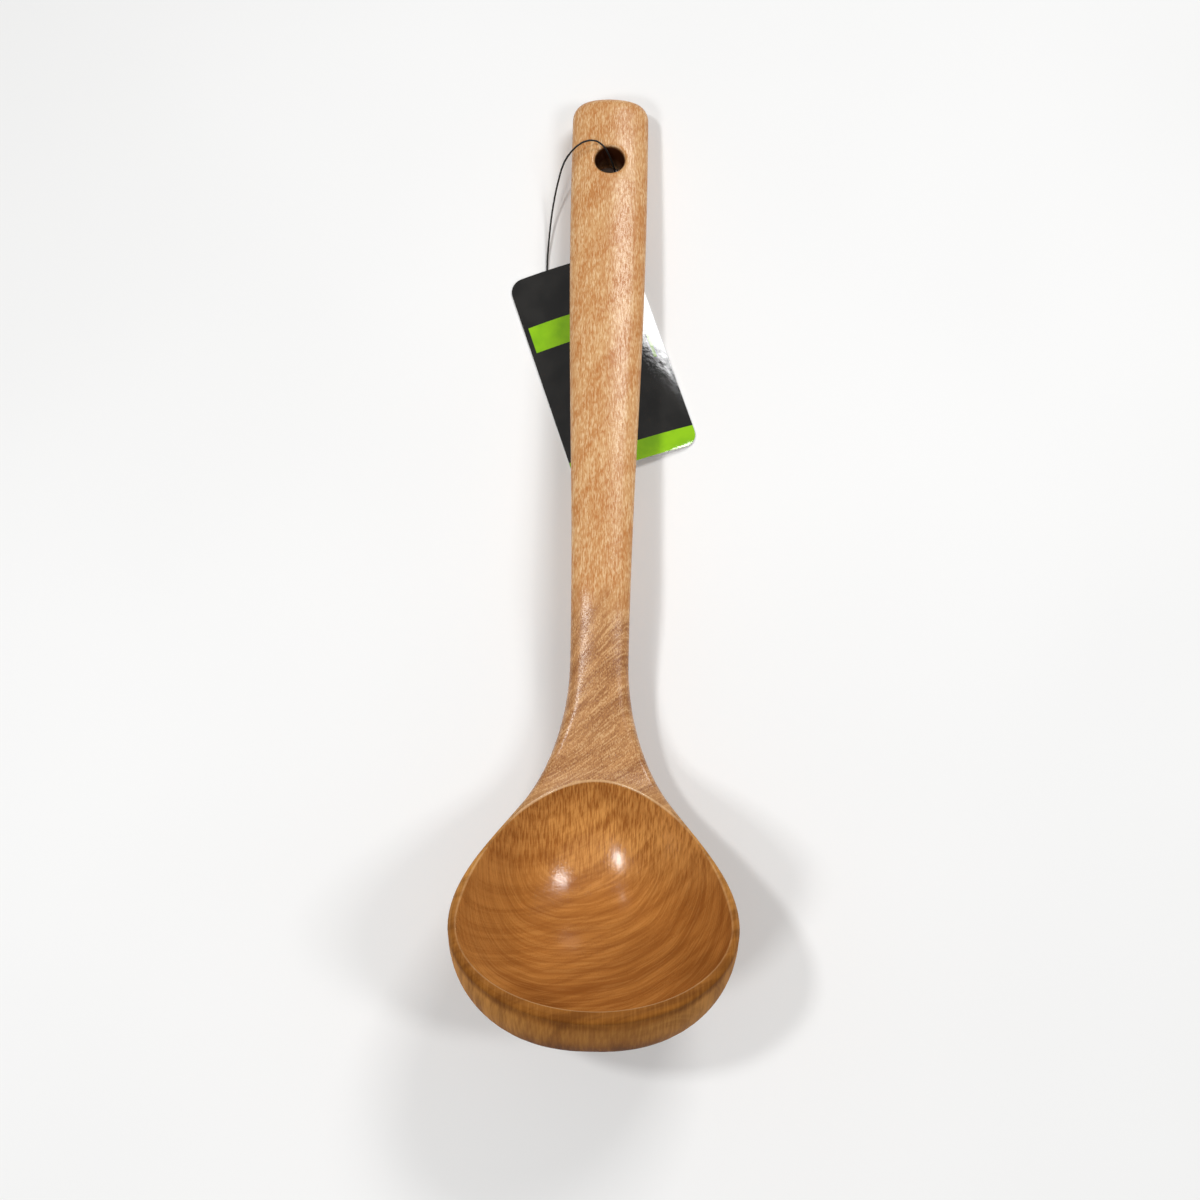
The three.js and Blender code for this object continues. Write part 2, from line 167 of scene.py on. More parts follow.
class Sock:
    """One output of a shader node; arithmetic on it adds Math nodes."""

    def __init__(self, shade: "Shade", socket: bpy.types.NodeSocket) -> None:
        """Keep the output and the shader that it belongs to."""
        self.shade = shade
        self.socket = socket

    def math(self, operation: str, *values: "Value") -> "Sock":
        """Math node on given values, in their order."""
        return self.shade.node("ShaderNodeMath", {"operation": operation}, dict(enumerate(values)))

    def __add__(self, other: "Value") -> "Sock":
        """Sum."""
        return self.math("ADD", self, other)

    __radd__ = __add__

    def __sub__(self, other: "Value") -> "Sock":
        """Difference."""
        return self.math("SUBTRACT", self, other)

    def __rsub__(self, other: "Value") -> "Sock":
        """Reflected difference."""
        return self.math("SUBTRACT", other, self)

    def __mul__(self, other: "Value") -> "Sock":
        """Product."""
        return self.math("MULTIPLY", self, other)

    __rmul__ = __mul__

    def at_least(self, low: float) -> "Sock":
        """This value, or the given one where this is lower."""
        return self.math("MAXIMUM", self, low)

    def clipped(self) -> "Sock":
        """Value held between 0 and 1."""
        return self.math("MINIMUM", self.math("MAXIMUM", self, 0.0), 1.0)

    def step(self, low: float, high: float) -> "Sock":
        """Smooth step from 0 at low to 1 at high."""
        settings = {"interpolation_type": "SMOOTHSTEP"}
        return self.shade.node("ShaderNodeMapRange", settings, {0: self, 1: low, 2: high})

    def fall(self, low: float, high: float) -> "Sock":
        """Smooth step from 1 at low to 0 at high."""
        return 1.0 - self.step(low, high)

    def between(self, low: float, high: float, soft: float) -> "Sock":
        """Share that is 1 between two limits, with edges that are soft to either side."""
        return self.step(low - soft, low + soft) * self.fall(high - soft, high + soft)

    def lifted(self, floor: float) -> "Sock":
        """Share raised so that 0 becomes the floor and 1 stays."""
        return floor + (1 - floor) * self


Value = Sock | float | Sequence[float]


class Shade:
    """Node tree of one material."""

    def __init__(self, name: str) -> None:
        """Start an empty material.

        Args:
            name: Name of the material.
        """
        self.material = bpy.data.materials.new(name)
        self.material.use_nodes = True
        self.tree = self.material.node_tree
        self.tree.nodes.clear()

    def node(
        self,
        kind: str,
        settings: Mapping[str, object] | None = None,
        sockets: Mapping[int | str, Value] | None = None,
        output: int | str = 0,
    ) -> Sock:
        """Add a node.

        Args:
            kind: Blender's name of the node's type.
            settings: Properties of the node, set before its sockets are filled.
            sockets: Value or link of each input, by its name or number.
            output: Name or number of the output that is wanted.

        Returns:
            The wanted output.
        """
        node = self.tree.nodes.new(kind)
        for key, value in (settings or {}).items():
            setattr(node, key, value)
        for key, value in (sockets or {}).items():
            if isinstance(value, Sock):
                self.tree.links.new(value.socket, node.inputs[key])
            else:
                node.inputs[key].default_value = value
        return Sock(self, node.outputs[output])

    def place(self, scale: Point = (1.0, 1.0, 1.0)) -> Sock:
        """Place on the piece in millimetres.

        Args:
            scale: Factor on each axis.

        Returns:
            The place times the factors.
        """
        coordinates = self.node("ShaderNodeTexCoord", output="Object")
        millimetres = self.vector("SCALE", coordinates, {"Scale": 1 / MM})
        return self.vector("MULTIPLY", millimetres, {1: scale})

    def vector(self, operation: str, first: Value, sockets: Mapping[int | str, Value]) -> Sock:
        """Vector Math node with the given first vector."""
        output = "Value" if operation == "DOT_PRODUCT" else "Vector"
        return self.node("ShaderNodeVectorMath", {"operation": operation}, {0: first, **sockets}, output)

    def split(self, vector: Sock) -> tuple[Sock, Sock, Sock]:
        """The three numbers of a vector."""
        parts = [self.node("ShaderNodeSeparateXYZ", None, {0: vector}, axis) for axis in "XYZ"]
        return parts[0], parts[1], parts[2]

    def noise(self, place: Sock, scale: float = 1.0, detail: float = 2.0, rough: float = 0.5) -> Sock:
        """Soft noise around one half, at a place in millimetres times a scale."""
        sockets = {"Vector": place, "Scale": scale, "Detail": detail, "Roughness": rough}
        return self.node("ShaderNodeTexNoise", None, sockets, "Fac")

    def swing(self, place: Sock, scale: float, reach: float, detail: float = 2.0) -> Sock:
        """Soft noise around 0 that keeps within half a reach."""
        return (self.noise(place, scale, detail) - 0.5) * reach

    def joined(self, scales: Sequence[float], *numbers: Sock) -> Sock:
        """Vector of up to three numbers, each times its scale."""
        parts = (number * scale for number, scale in zip(numbers, scales))
        return self.node("ShaderNodeCombineXYZ", None, dict(enumerate(parts)))

    def mark(self, mark: Mark) -> Sock:
        """Share of a mark that the mesh stores at its points."""
        return self.node("ShaderNodeAttribute", {"attribute_name": mark.value}, output="Fac")

    def mix(self, share: Value, first: Value, second: Value) -> Sock:
        """Colour mixed from two others, with the given share of the second."""
        first, second = (c if isinstance(c, Sock) else (*c, 1.0) for c in (first, second))
        return self.node("ShaderNodeMix", {"data_type": "RGBA"}, {0: share, 6: first, 7: second}, 2)

    def bump(self, height: Sock) -> Sock:
        """Normal of a surface raised by a height in millimetres."""
        return self.node("ShaderNodeBump", None, {"Strength": 1.0, "Distance": MM, "Height": height})

    def principled(self, **sockets: Value) -> Sock:
        """Principled shader with the given inputs, named with _ for each space."""
        inputs = {key.replace("_", " "): value for key, value in sockets.items()}
        return self.node("ShaderNodeBsdfPrincipled", None, inputs)

    def finish(self, shader: Sock) -> bpy.types.Material:
        """Lead a shader to the material's output.

        Args:
            shader: The shader.

        Returns:
            The finished material.
        """
        output = self.tree.nodes.new("ShaderNodeOutputMaterial")
        self.tree.links.new(shader.socket, output.inputs["Surface"])
        return self.material


class Skin:
    """Points and faces of one closed mesh, in millimetres."""

    def __init__(self) -> None:
        """Start without points."""
        self.points: list[Vector] = []
        self.faces: list[tuple[int, ...]] = []
        self.finishes: list[int] = []
        self.marks: dict[Mark, dict[int, float]] = {}

    def row(self, points: Iterable[Vector], **marks: Iterable[float]) -> list[int]:
        """Add points.

        Args:
            points: The points.
            marks: A share for each of them, by the mark's name in small letters.

        Returns:
            The numbers of the points.
        """
        start = len(self.points)
        self.points.extend(points)
        numbers = list(range(start, len(self.points)))
        for name, shares in marks.items():
            self.marks.setdefault(Mark(name), {}).update(zip(numbers, shares))
        return numbers

    def face(self, numbers: Sequence[int], finish: int = 0) -> None:
        """Add a face unless its repeated points leave it without area.

        Args:
            numbers: Point numbers of its corners.
            finish: Number of the finish.
        """
        corners = tuple(dict.fromkeys(numbers))
        if len(corners) > 2:
            self.faces.append(corners)
            self.finishes.append(finish)

    def loft(self, rows: Sequence[Sequence[int]], closed: bool = False, finish: int = 0) -> None:
        """Add quads between each row and the next.

        Args:
            rows: Point numbers of the rows, all of the same length.
            closed: Whether the rows run round to their start.
            finish: Number of the finish.
        """
        for first, second in zip(rows, rows[1:]):
            count = len(first)
            for i in range(count if closed else count - 1):
                j = (i + 1) % count
                self.face((first[i], first[j], second[j], second[i]), finish)

    def fan(self, ring: Sequence[int], middle: Vector, **marks: Iterable[float]) -> None:
        """Close a ring with triangles to a middle point, which is added with its marks."""
        self.loft((ring, self.row([middle], **marks) * len(ring)), True)

    def move(self, place: Matrix) -> None:
        """Move every point by a placement in millimetres."""
        self.points = [place @ point for point in self.points]

    def build(
        self, name: str, materials: Sequence[bpy.types.Material], place: Matrix = Matrix()
    ) -> bpy.types.Object:
        """Make the object.

        Args:
            name: Name of the piece.
            materials: Materials in the order of the finish numbers.
            place: Placement of the skin in the row frame, in millimetres.

        Returns:
            The object.
        """
        mesh = bpy.data.meshes.new(name)
        mesh.from_pydata([point * MM for point in self.points], [], self.faces)
        for material in materials:
            mesh.materials.append(material)
        mesh.polygons.foreach_set("material_index", self.finishes)
        for mark, shares in self.marks.items():
            values = [shares.get(i, 0.0) for i in range(len(self.points))]
            mesh.attributes.new(mark.value, "FLOAT", "POINT").data.foreach_set("value", values)
        shape = bmesh.new()
        shape.from_mesh(mesh)
        bmesh.ops.recalc_face_normals(shape, faces=shape.faces)
        shape.to_mesh(mesh)
        shape.free()
        mesh.shade_smooth()
        mesh.set_sharp_from_angle(angle=SHARP_ANGLE)
        piece = bpy.data.objects.new(name, mesh)
        bpy.context.scene.collection.objects.link(piece)
        place = place.copy()
        place.translation = place.translation * MM
        piece.matrix_world = place
        return piece


class Softness(Enum):
    """Edge lengths of a lamp in millimetres."""

    BROAD = (420.0, 240.0)
    LONG = (110.0, 250.0)
    SMALL = (150.0, 150.0)
    FINE = (90.0, 90.0)


@dataclass(frozen=True)
class Lamp:
    """One soft lamp that looks at the spoon; millimetres and watts."""

    name: str
    place: Point
    softness: Softness
    power: float
    aim: Point = (0.0, 0.0, 0.0)


@dataclass(frozen=True)
class PaleFloor:
    """Matt near-white paper under the spoon."""

    colour: Colour = (0.882, 0.882, 0.877)
    grey: Colour = (0.853, 0.853, 0.848)
    cloud_scale: float = 0.004
    cloud_span: Span = (0.3, 0.7)
    roughness: float = 0.9

    def material(self) -> bpy.types.Material:
        """The floor's material, with a faint unevenness.

        Returns:
            The material.
        """
        shade = Shade("pale_floor")
        cloud = shade.noise(shade.place(), self.cloud_scale).step(*self.cloud_span)
        colour = shade.mix(cloud, self.colour, self.grey)
        return shade.finish(shade.principled(Base_Color=colour, Roughness=self.roughness))


@dataclass
class Studio:
    """Camera, floor and soft light; lengths in millimetres, angles in degrees."""

    target: Point = (-0.29, -19.38, 0.0)
    distance: float = 520.2
    tilt: float = 13.53
    turn: float = 0.18
    roll: float = 1.19
    focal_pixels: float = 1507.5
    frame_pixels: int = 1200
    sensor: float = 36.0
    near_clip: float = 10.0
    floor_size: float = 6000.0
    floor_drop: float = 0.02
    sky: float = 0.215
    lamps: tuple[Lamp, ...] = (
        Lamp("lamp_far", (356.0, 668.0, 881.0), Softness.BROAD, 5.2),
        Lamp("lamp_right", (510.0, -196.0, 735.0), Softness.LONG, 1.8),
        Lamp("lamp_left", (-346.0, -428.0, 770.0), Softness.SMALL, 2.0),
        Lamp("lamp_neck", (-445.0, 2.0, 926.0), Softness.FINE, 2.8),
    )
    paper: PaleFloor = field(default_factory=PaleFloor)

    def place_camera(self) -> None:
        """Set the camera where the photograph was taken from."""
        tilt, turn, roll = (math.radians(angle) for angle in (self.tilt, self.turn, self.roll))
        target = Vector(self.target)
        back = Vector((math.sin(turn) * math.cos(tilt), -math.sin(tilt), math.cos(turn) * math.cos(tilt)))
        back.normalize()
        right = (-back).cross(Vector((0, 1, 0))).normalized()
        up = right.cross(-back)
        across = right * math.cos(roll) + up * math.sin(roll)
        above = up * math.cos(roll) - right * math.sin(roll)
        lens = bpy.data.cameras.new("camera")
        lens.sensor_width = self.sensor
        lens.lens = self.focal_pixels * self.sensor / self.frame_pixels
        lens.clip_start = self.near_clip * MM
        camera = bpy.data.objects.new("camera", lens)
        camera.matrix_world = Matrix((across, above, back)).transposed().to_4x4()
        camera.location = (target + back * self.distance) * MM
        bpy.context.scene.collection.objects.link(camera)
        bpy.context.scene.camera = camera

    def lay_floor(self) -> bpy.types.Object:
        """Lay the pale floor under the spoon.

        Returns:
            The floor.
        """
        skin = Skin()
        half = self.floor_size / 2
        corners = ((-half, -half), (half, -half), (half, half), (-half, half))
        skin.face(skin.row(Vector((x, y, 0)) for x, y in corners))
        floor = skin.build("floor", [self.paper.material()], Matrix.Translation((0, 0, -self.floor_drop)))
        return floor

    def light(self) -> None:
        """Hang the lamps, light the sky evenly and show colours as they are written."""
        for lamp in self.lamps:
            light = bpy.data.lights.new(lamp.name, "AREA")
            light.shape = "RECTANGLE"
            light.size, light.size_y = (edge * MM for edge in lamp.softness.value)
            light.energy = lamp.power
            holder = bpy.data.objects.new(lamp.name, light)
            holder.location = Vector(lamp.place) * MM
            look = Vector(lamp.aim) - Vector(lamp.place)
            holder.rotation_euler = look.to_track_quat("-Z", "Y").to_euler()
            bpy.context.scene.collection.objects.link(holder)
        world = bpy.data.worlds.new("sky")
        world.use_nodes = True
        background = world.node_tree.nodes["Background"]
        background.inputs["Color"].default_value = (1.0, 1.0, 1.0, 1.0)
        background.inputs["Strength"].default_value = self.sky
        bpy.context.scene.world = world
        bpy.context.scene.view_settings.view_transform = "Standard"


@dataclass(frozen=True)
class BlackCord:
    """Thin waxed cord, almost black, with a dull sheen on its twisted plies."""

    dark: Colour = (0.006, 0.0055, 0.005)
    light: Colour = (0.020, 0.018, 0.016)
    roughness: float = 0.62
    fibre_scale: float = 9.0
    fibre_span: Span = (0.35, 0.7)
    fibre_roughness: float = 0.2
    fibre_depth: float = 0.05

    def material(self) -> bpy.types.Material:
        """The cord's material, with fine fibres.

        Returns:
            The material.
        """
        shade = Shade("black_cord")
        fibre = shade.noise(shade.place(), self.fibre_scale, detail=3.0, rough=0.6)
        share = fibre.step(*self.fibre_span)
        waxed = shade.principled(
            Base_Color=shade.mix(share, self.dark, self.light),
            Roughness=self.roughness + self.fibre_roughness * share,
            Normal=shade.bump(fibre * self.fibre_depth),
        )
        return shade.finish(waxed)


@dataclass
class TagString:
    """Loop of cord through the hanging hole and the tag, tied under the handle; millimetres."""

    origin: Plan = (0.0, 139.87)
    diameter: float = 0.7
    route: tuple[Point, ...] = (
        (-4.25, -21.4, 1.6), (-5.3, -23.8, 2.05), (-6.7, -27.4, 2.65), (-8.2, -32.4, 3.2),
        (-9.6, -37.4, 3.48), (-10.3, -40.6, 3.6), (-10.7, -42.4, 3.25), (-11, -43.5, 2.5),
        (-11.35, -44.6, 1.55), (-12.1, -45.9, 0.85), (-13.6, -46.7, 0.6), (-15.8, -46.5, 0.55),
        (-18.4, -45, 0.55), (-20.6, -42.4, 0.55), (-21.8, -38.8, 0.55), (-22, -33.1, 0.9),
        (-21.6, -25.1, 2), (-20.6, -15, 4.5), (-18.8, -6.15, 8.5), (-16.4, -0.2, 13.5),
        (-13.1, 2.7, 17.5), (-9.9, 4.6, 19), (-7, 5.55, 18.95), (-4.4, 5.55, 18.1),
        (-2.1, 4.3, 16.7), (-0.8, 3.7, 13.8), (0.3, 3.5, 10), (1.3, 2.8, 6.5),
        (2.1, 1.3, 3.6), (2.8, -0.4, 1.65), (3.2, -2.6, 0.8), (3, -5.4, 0.6),
        (2.2, -8.6, 0.65), (0.6, -12.2, 0.75), (-1.1, -15.4, 1), (-2.15, -17.65, 1.25),
    )
    plies: int = 3
    ply_depth: float = 0.13
    pitch: float = 2.6
    ring_step: float = 0.26
    sides: int = 15
    knot_turn: float = 0.30
    knot_rise: float = 0.32
    knot_steps: int = 150
    cord: BlackCord = field(default_factory=BlackCord)

    def centreline(self) -> list[Vector]:
        """Points along the middle of the cord, on a smooth curve through its route.

        Returns:
            Points a ring's step apart, in the row frame.
        """
        stops = [Vector((x + self.origin[0], y + self.origin[1], z)) for x, y, z in self.route]
        ends = [2 * stops[0] - stops[1], *stops, 2 * stops[-1] - stops[-2]]
        points = [stops[0]]
        for a, b, c, d in zip(ends, ends[1:], ends[2:], ends[3:]):
            knots = [0.0]
            for start, end in ((a, b), (b, c), (c, d)):
                knots.append(knots[-1] + (end - start).length ** 0.5)
            steps = max(2, round((c - b).length / self.ring_step))
            for t in spread(knots[1], knots[2], steps)[1:]:
                points.append(self._between((a, b, c, d), knots, t))
        return points

    @staticmethod
    def _between(stops: Sequence[Vector], knots: Sequence[float], t: float) -> Vector:
        """Point of a centripetal curve between the second and third of four stops.

        Args:
            stops: The four stops.
            knots: Parameter of the curve at each stop.
            t: Parameter of the point.

        Returns:
            The point.
        """
        level = list(stops)
        for reach in (1, 2):
            level = [
                level[i].lerp(level[i + 1], (t - knots[i]) / (knots[i + reach] - knots[i]))
                for i in range(len(level) - 1)
            ]
        return level[0].lerp(level[1], (t - knots[1]) / (knots[2] - knots[1]))

    def _tube(self, skin: Skin, line: Sequence[Vector], closed: bool) -> None:
        """Wind a plied tube round a line.

        Args:
            skin: Skin that takes the tube.
            line: Points of its middle.
            closed: Whether the line runs round to its start.
        """
        count = len(line)
        along = 0.0
        rings = []
        side = Vector((0, 0, 1))
        for i, point in enumerate(line):
            after = line[(i + 1) % count] if closed else line[min(i + 1, count - 1)]
            before = line[i - 1] if closed else line[max(i - 1, 0)]
            ahead = (after - before).normalized()
            side = (side - ahead * side.dot(ahead)).normalized()
            other = ahead.cross(side)
            along += (point - line[i - 1]).length if i else 0.0
            twist = 2 * math.pi * along / self.pitch
            ring = []
            for k in range(self.sides):
                angle = 2 * math.pi * k / self.sides
                lobe = abs(math.sin(self.plies * (angle - twist / self.plies) / 2))
                radius = self.diameter / 2 * (1 - self.ply_depth * (1 - lobe))
                ring.append(point + (side * math.cos(angle) + other * math.sin(angle)) * radius)
            rings.append(skin.row(ring))
        if closed:
            skin.loft([*rings, rings[0]], True)
        else:
            skin.loft(rings, True)
            skin.fan(rings[0], line[0])
            skin.fan(rings[-1], line[-1])

    def build(self) -> list[bpy.types.Object]:
        """Make the loop and its knot.

        Returns:
            The string and the knot.
        """
        material = self.cord.material()
        line = self.centreline()
        skin = Skin()
        self._tube(skin, line, False)
        string = skin.build("twisted_string", [material])
        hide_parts("tag_string")
        knot = self._tie(line[-1], line[0], material)
        for piece in (string, knot):
            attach(piece, "string")
        length = sum((b - a).length for a, b in zip(line, line[1:]))
        [point * MM for point in line]
        return [string, knot]

    def _tie(self, start: Vector, end: Vector, material: bpy.types.Material) -> bpy.types.Object:
        """Tie the cord's two ends in an overhand knot.

        Args:
            start: End of the cord on one side.
            end: End of the cord on the other side.
            material: The cord's material.

        Returns:
            The knot.
        """
        ahead = (end - start).normalized()
        across = ahead.cross(Vector((0, 0, 1))).normalized()
        above = across.cross(ahead)
        middle = start.lerp(end, 0.5)
        line = []
        for i in range(self.knot_steps):
            t = 2 * math.pi * i / self.knot_steps
            reach = (math.cos(t) - 2 * math.cos(2 * t)) * self.knot_turn
            width = (math.sin(t) + 2 * math.sin(2 * t)) * self.knot_turn
            rise = -math.sin(3 * t) * self.knot_rise
            line.append(middle + ahead * reach + across * width + above * rise)
        skin = Skin()
        self._tube(skin, line, True)
        knot = skin.build("tied_knot", [material])
        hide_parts("string_knot")
        return knot


@dataclass(frozen=True)
class Tone:
    """Colours of one part of the wood: its ground, its pale flecks and its dark flecks."""

    ground: Colour
    pale: Colour
    dark: Colour


class Grain(Enum):
    """Flecks in the wood, by their noise cells for each millimetre on three axes."""

    DASHES = (2.8, 0.50, 2.8)
    FIBRES = (1.7, 0.08, 1.7)
    DOTS = (2.7, 1.2, 2.7)
    THREADS = (1.4, 0.12, 0.3)
    STREAKS = (1.9, 0.20, 0.20)
    STROKES = (1.5, 0.10, 0.10)
    LINES = (1.7, 0.08, 0.08)

    def at(self, shade: Shade, *numbers: Sock) -> Sock:
        """Fine noise around one half at three coordinates."""
        return shade.noise(shade.joined(self.value, *numbers), rough=0.55)


@dataclass(frozen=True)
class Growth:
    """Growth layers of one size: noise cells for each millimetre, limits in it, and strength."""

    scale: float
    span: Span
    strength: float
    detail: float = 3.0
    rough: float = 0.6

    def at(self, shade: Shade, depth: Sock) -> Sock:
        """Share of dark layers, which changes with one depth alone.

        Args:
            shade: Shader that takes the nodes.
            depth: Depth across the layers in millimetres.

        Returns:
            The share.
        """
        sockets = {"W": depth, "Scale": self.scale, "Detail": self.detail, "Roughness": self.rough}
        noise = shade.node("ShaderNodeTexNoise", {"noise_dimensions": "1D"}, sockets, "Fac")
        return noise.step(*self.span)


@dataclass(frozen=True)
class Spot:
    """A place in the wood: coordinates in millimetres, and the share of each part there.

    Depth runs across the growth rings, and slant across the growth lines on the face. The hollow is
    its rear beside the neck and its fore towards the tip, and what has no share is handle.
    """

    place: Sock
    across: Sock
    along: Sock
    above: Sock
    depth: Sock
    slant: Sock
    neck: Sock
    on_neck: Sock
    shell: Sock
    hollow: Sock
    rear: Sock
    fore: Sock


@dataclass(frozen=True)
class Amount:
    """An amount on the handle, and what the share of each other part adds to it."""

    handle: float
    neck: float = 0.0
    on_neck: float = 0.0
    shell: float = 0.0
    hollow: float = 0.0
    rear: float = 0.0
    fore: float = 0.0

    def at(self, spot: Spot) -> Sock:
        """The amount at a place in the wood.

        Args:
            spot: The place.

        Returns:
            The handle's amount with what every part adds.
        """
        total: Value = self.handle
        for part, amount in asdict(self).items():
            if part != "handle" and amount:
                total = total + amount * getattr(spot, part)
        return total


@dataclass(frozen=True)
class Flecks:
    """Shares of what the grain draws at a place: clouds, dark and pale flecks, and fine ticks."""

    cloud: Sock
    dark: Sock
    pale: Sock
    tick: Sock


@dataclass(frozen=True)
class PaleWoodAndPaintedLight:
    """Where the bowl is painted paler: painted light on the sides and upper band of its outer wall, a
    painted sheen on the left wall of the hollow, and paler wood at the rear of the hollow.
    """

    # Painted light on the bowl's outer wall under the rim: its left and right sides and its upper band.
    edge: float = 0.85
    edge_span: Span = (-3.0, 1.5)
    painted_brow_light: float = 0.5
    painted_brow_span: Span = (6.0, 18.0)
    left_span: Span = (-34.0, -12.0)
    right: float = 0.8
    right_span: Span = (10.0, 32.0)
    # Paler wood at the rear of the hollow.
    rear: float = 0.45
    rear_right: float = 0.35
    rear_span: Span = (0.0, 30.0)
    # Painted sheen on the left wall of the hollow.
    painted_left_sheen: float = 0.35
    painted_sheen_span: Span = (-38.0, -22.0)

    def at(self, spot: Spot, under: Sock) -> Sock:
        """Share of the pale tone: paler wood, and painted light and sheen.

        Args:
            spot: Place in the wood.
            under: Depth of that place under the rim's plane.

        Returns:
            The share, which may pass 1.
        """
        # Painted light: the upper band and the two sides of the outer wall lighter.
        painted_brow_light = self.painted_brow_light * under.fall(*self.painted_brow_span)
        sides = spot.across.fall(*self.left_span) + self.right * spot.across.step(*self.right_span)
        edge = spot.shell * under.step(*self.edge_span) * (sides + painted_brow_light)
        rear = spot.rear * (self.rear + self.rear_right * spot.across.step(*self.rear_span))
        # Painted sheen on the left wall of the hollow.
        left = self.painted_left_sheen * spot.hollow * spot.across.fall(*self.painted_sheen_span)
        return rear + edge * self.edge + left


@dataclass(frozen=True)
class CarvedWood:
    """Varnished carved wood: growth rings, flecks along the grain, pale worn edges with a painted
    highlight, and painted light and shade on the bowl.

    A span is the pair of limits, in millimetres or in noise, between which a share goes from 0 to 1.
    """

    # Tones of the parts, the colour of worn edges with their painted highlight, and the colour of painted
    # shade.
    handle: Tone = Tone((0.665, 0.385, 0.171), (0.890, 0.660, 0.400), (0.465, 0.170, 0.040))
    neck: Tone = Tone((0.540, 0.270, 0.105), (0.840, 0.560, 0.290), (0.250, 0.088, 0.022))
    hollow: Tone = Tone((0.505, 0.210, 0.046), (0.740, 0.370, 0.105), (0.280, 0.090, 0.015))
    # The shell's tone is partly the wood's own and partly painted shade: darker for the outer wall, which
    # turns down and away from the light.
    shell: Tone = Tone((0.290, 0.107, 0.017), (0.500, 0.220, 0.048), (0.115, 0.034, 0.005))
    worn_and_lit: Colour = (0.760, 0.500, 0.260)
    stain: Colour = (0.045, 0.011, 0.003)
    # Where the parts begin along the spoon, and the plane of the bowl's rim.
    neck_span: Span = (-36.0, -20.0)
    neck_wobble: float = 18.0
    wobble_scale: float = 0.16
    bowl_span: Span = (-108.0, -82.0)
    rear_span: Span = (-124.0, -100.0)
    front_span: Span = (-123.0, -112.0)
    front_skew: float = 0.45
    rim_level: float = -24.6
    rim_slope: float = 0.568
    # Growth rings in the bowl, and growth lines on the face.
    ring_normal: Point = (-0.190, 0.500, -0.845)
    ring_warp: float = 6.0
    warp_scale: float = 0.03
    slant_along: float = 0.51
    slant_bend: float = 0.0055
    slant_above: float = 0.8
    rings: Growth = Growth(0.21, (0.36, 0.72), 0.62)
    bands: Growth = Growth(0.12, (0.40, 0.70), 0.32)
    veins: Growth = Growth(0.40, (0.58, 0.70), 0.28)
    shell_rings: float = 0.6
    # Clouds in the wood, and painted shade that darkens the bowl's outer wall towards the bottom.
    cloud_scale: tuple[float, ...] = (0.13, 0.05)
    cloud_span: Span = (0.38, 0.66)
    clouds: Amount = Amount(0.38, neck=0.12)
    painted_low_shade_span: Span = (4.0, 32.0)
    painted_low_shade: float = 0.75
    # Flecks and ticks along the grain.
    dash_share: float = 0.62
    dot_share: float = 0.5
    flecks: Amount = Amount(0.76, on_neck=-0.10, shell=-0.50, rear=-0.16, fore=-0.50)
    dark_span: Span = (0.50, 0.59)
    dark_floor: float = 0.45
    pale_span: Span = (0.40, 0.49)
    pale_strength: float = 0.70
    pale_loss: float = 0.5
    # Pale wood, and painted light and sheen on the bowl.
    pale_wood_and_painted_light: PaleWoodAndPaintedLight = PaleWoodAndPaintedLight()
    ticks: Amount = Amount(0.70, hollow=-0.34)
    tick_span: Span = (0.55, 0.62)
    tick_floor: float = 0.4
    tick_depth: float = 0.012
    # Varnish: satin where it is polished, matt elsewhere.
    pore_scale: float = 1.9
    pore_depth: float = 0.05
    polish: Amount = Amount(0.62, neck=0.30)
    dark_dull: float = 0.20
    front_dull: float = 0.95
    painted_shade_dull: float = 0.9
    roughness: Amount = Amount(0.22, on_neck=0.03, hollow=-0.06)
    dark_roughness: float = 0.10
    coat: Amount = Amount(0.0, hollow=0.30)
    coat_roughness: float = 0.10
    matt_roughness: float = 0.6
    matt_specular: float = 0.04

    def material(self) -> bpy.types.Material:
        """The wood's material.

        Returns:
            The material.
        """
        shade = Shade("carved_wood")
        spot = self._spot(shade)
        flecks = self._flecks(shade, spot)
        painted_shade_share = shade.mark(Mark.STAIN)
        # Worn rim edges, with a painted highlight along their rounding.
        wood = shade.mix(shade.mark(Mark.WEAR), self._wood(shade, spot, flecks), self.worn_and_lit)
        # Painted shade inside the hanging hole and on the front of the rim's land.
        wood = shade.mix(painted_shade_share, wood, self.stain)
        pores = shade.noise(spot.place, self.pore_scale)
        front = (spot.along - spot.across * self.front_skew).fall(*self.front_span)
        dull = (spot.shell + self.front_dull * front + self.painted_shade_dull * painted_shade_share).clipped()
        polish = (self.polish.at(spot) - self.dark_dull * flecks.dark) * (1.0 - dull)
        matt = shade.principled(
            Base_Color=wood,
            Roughness=self.matt_roughness,
            Specular_IOR_Level=self.matt_specular,
        )
        satin = shade.principled(
            Base_Color=wood,
            Roughness=self.roughness.at(spot) + self.dark_roughness * flecks.dark,
            Coat_Weight=self.coat.at(spot),
            Coat_Roughness=self.coat_roughness,
            Normal=shade.bump(pores * self.pore_depth - flecks.tick * self.tick_depth),
        )
        return shade.finish(shade.node("ShaderNodeMixShader", None, {0: polish, 1: matt, 2: satin}))

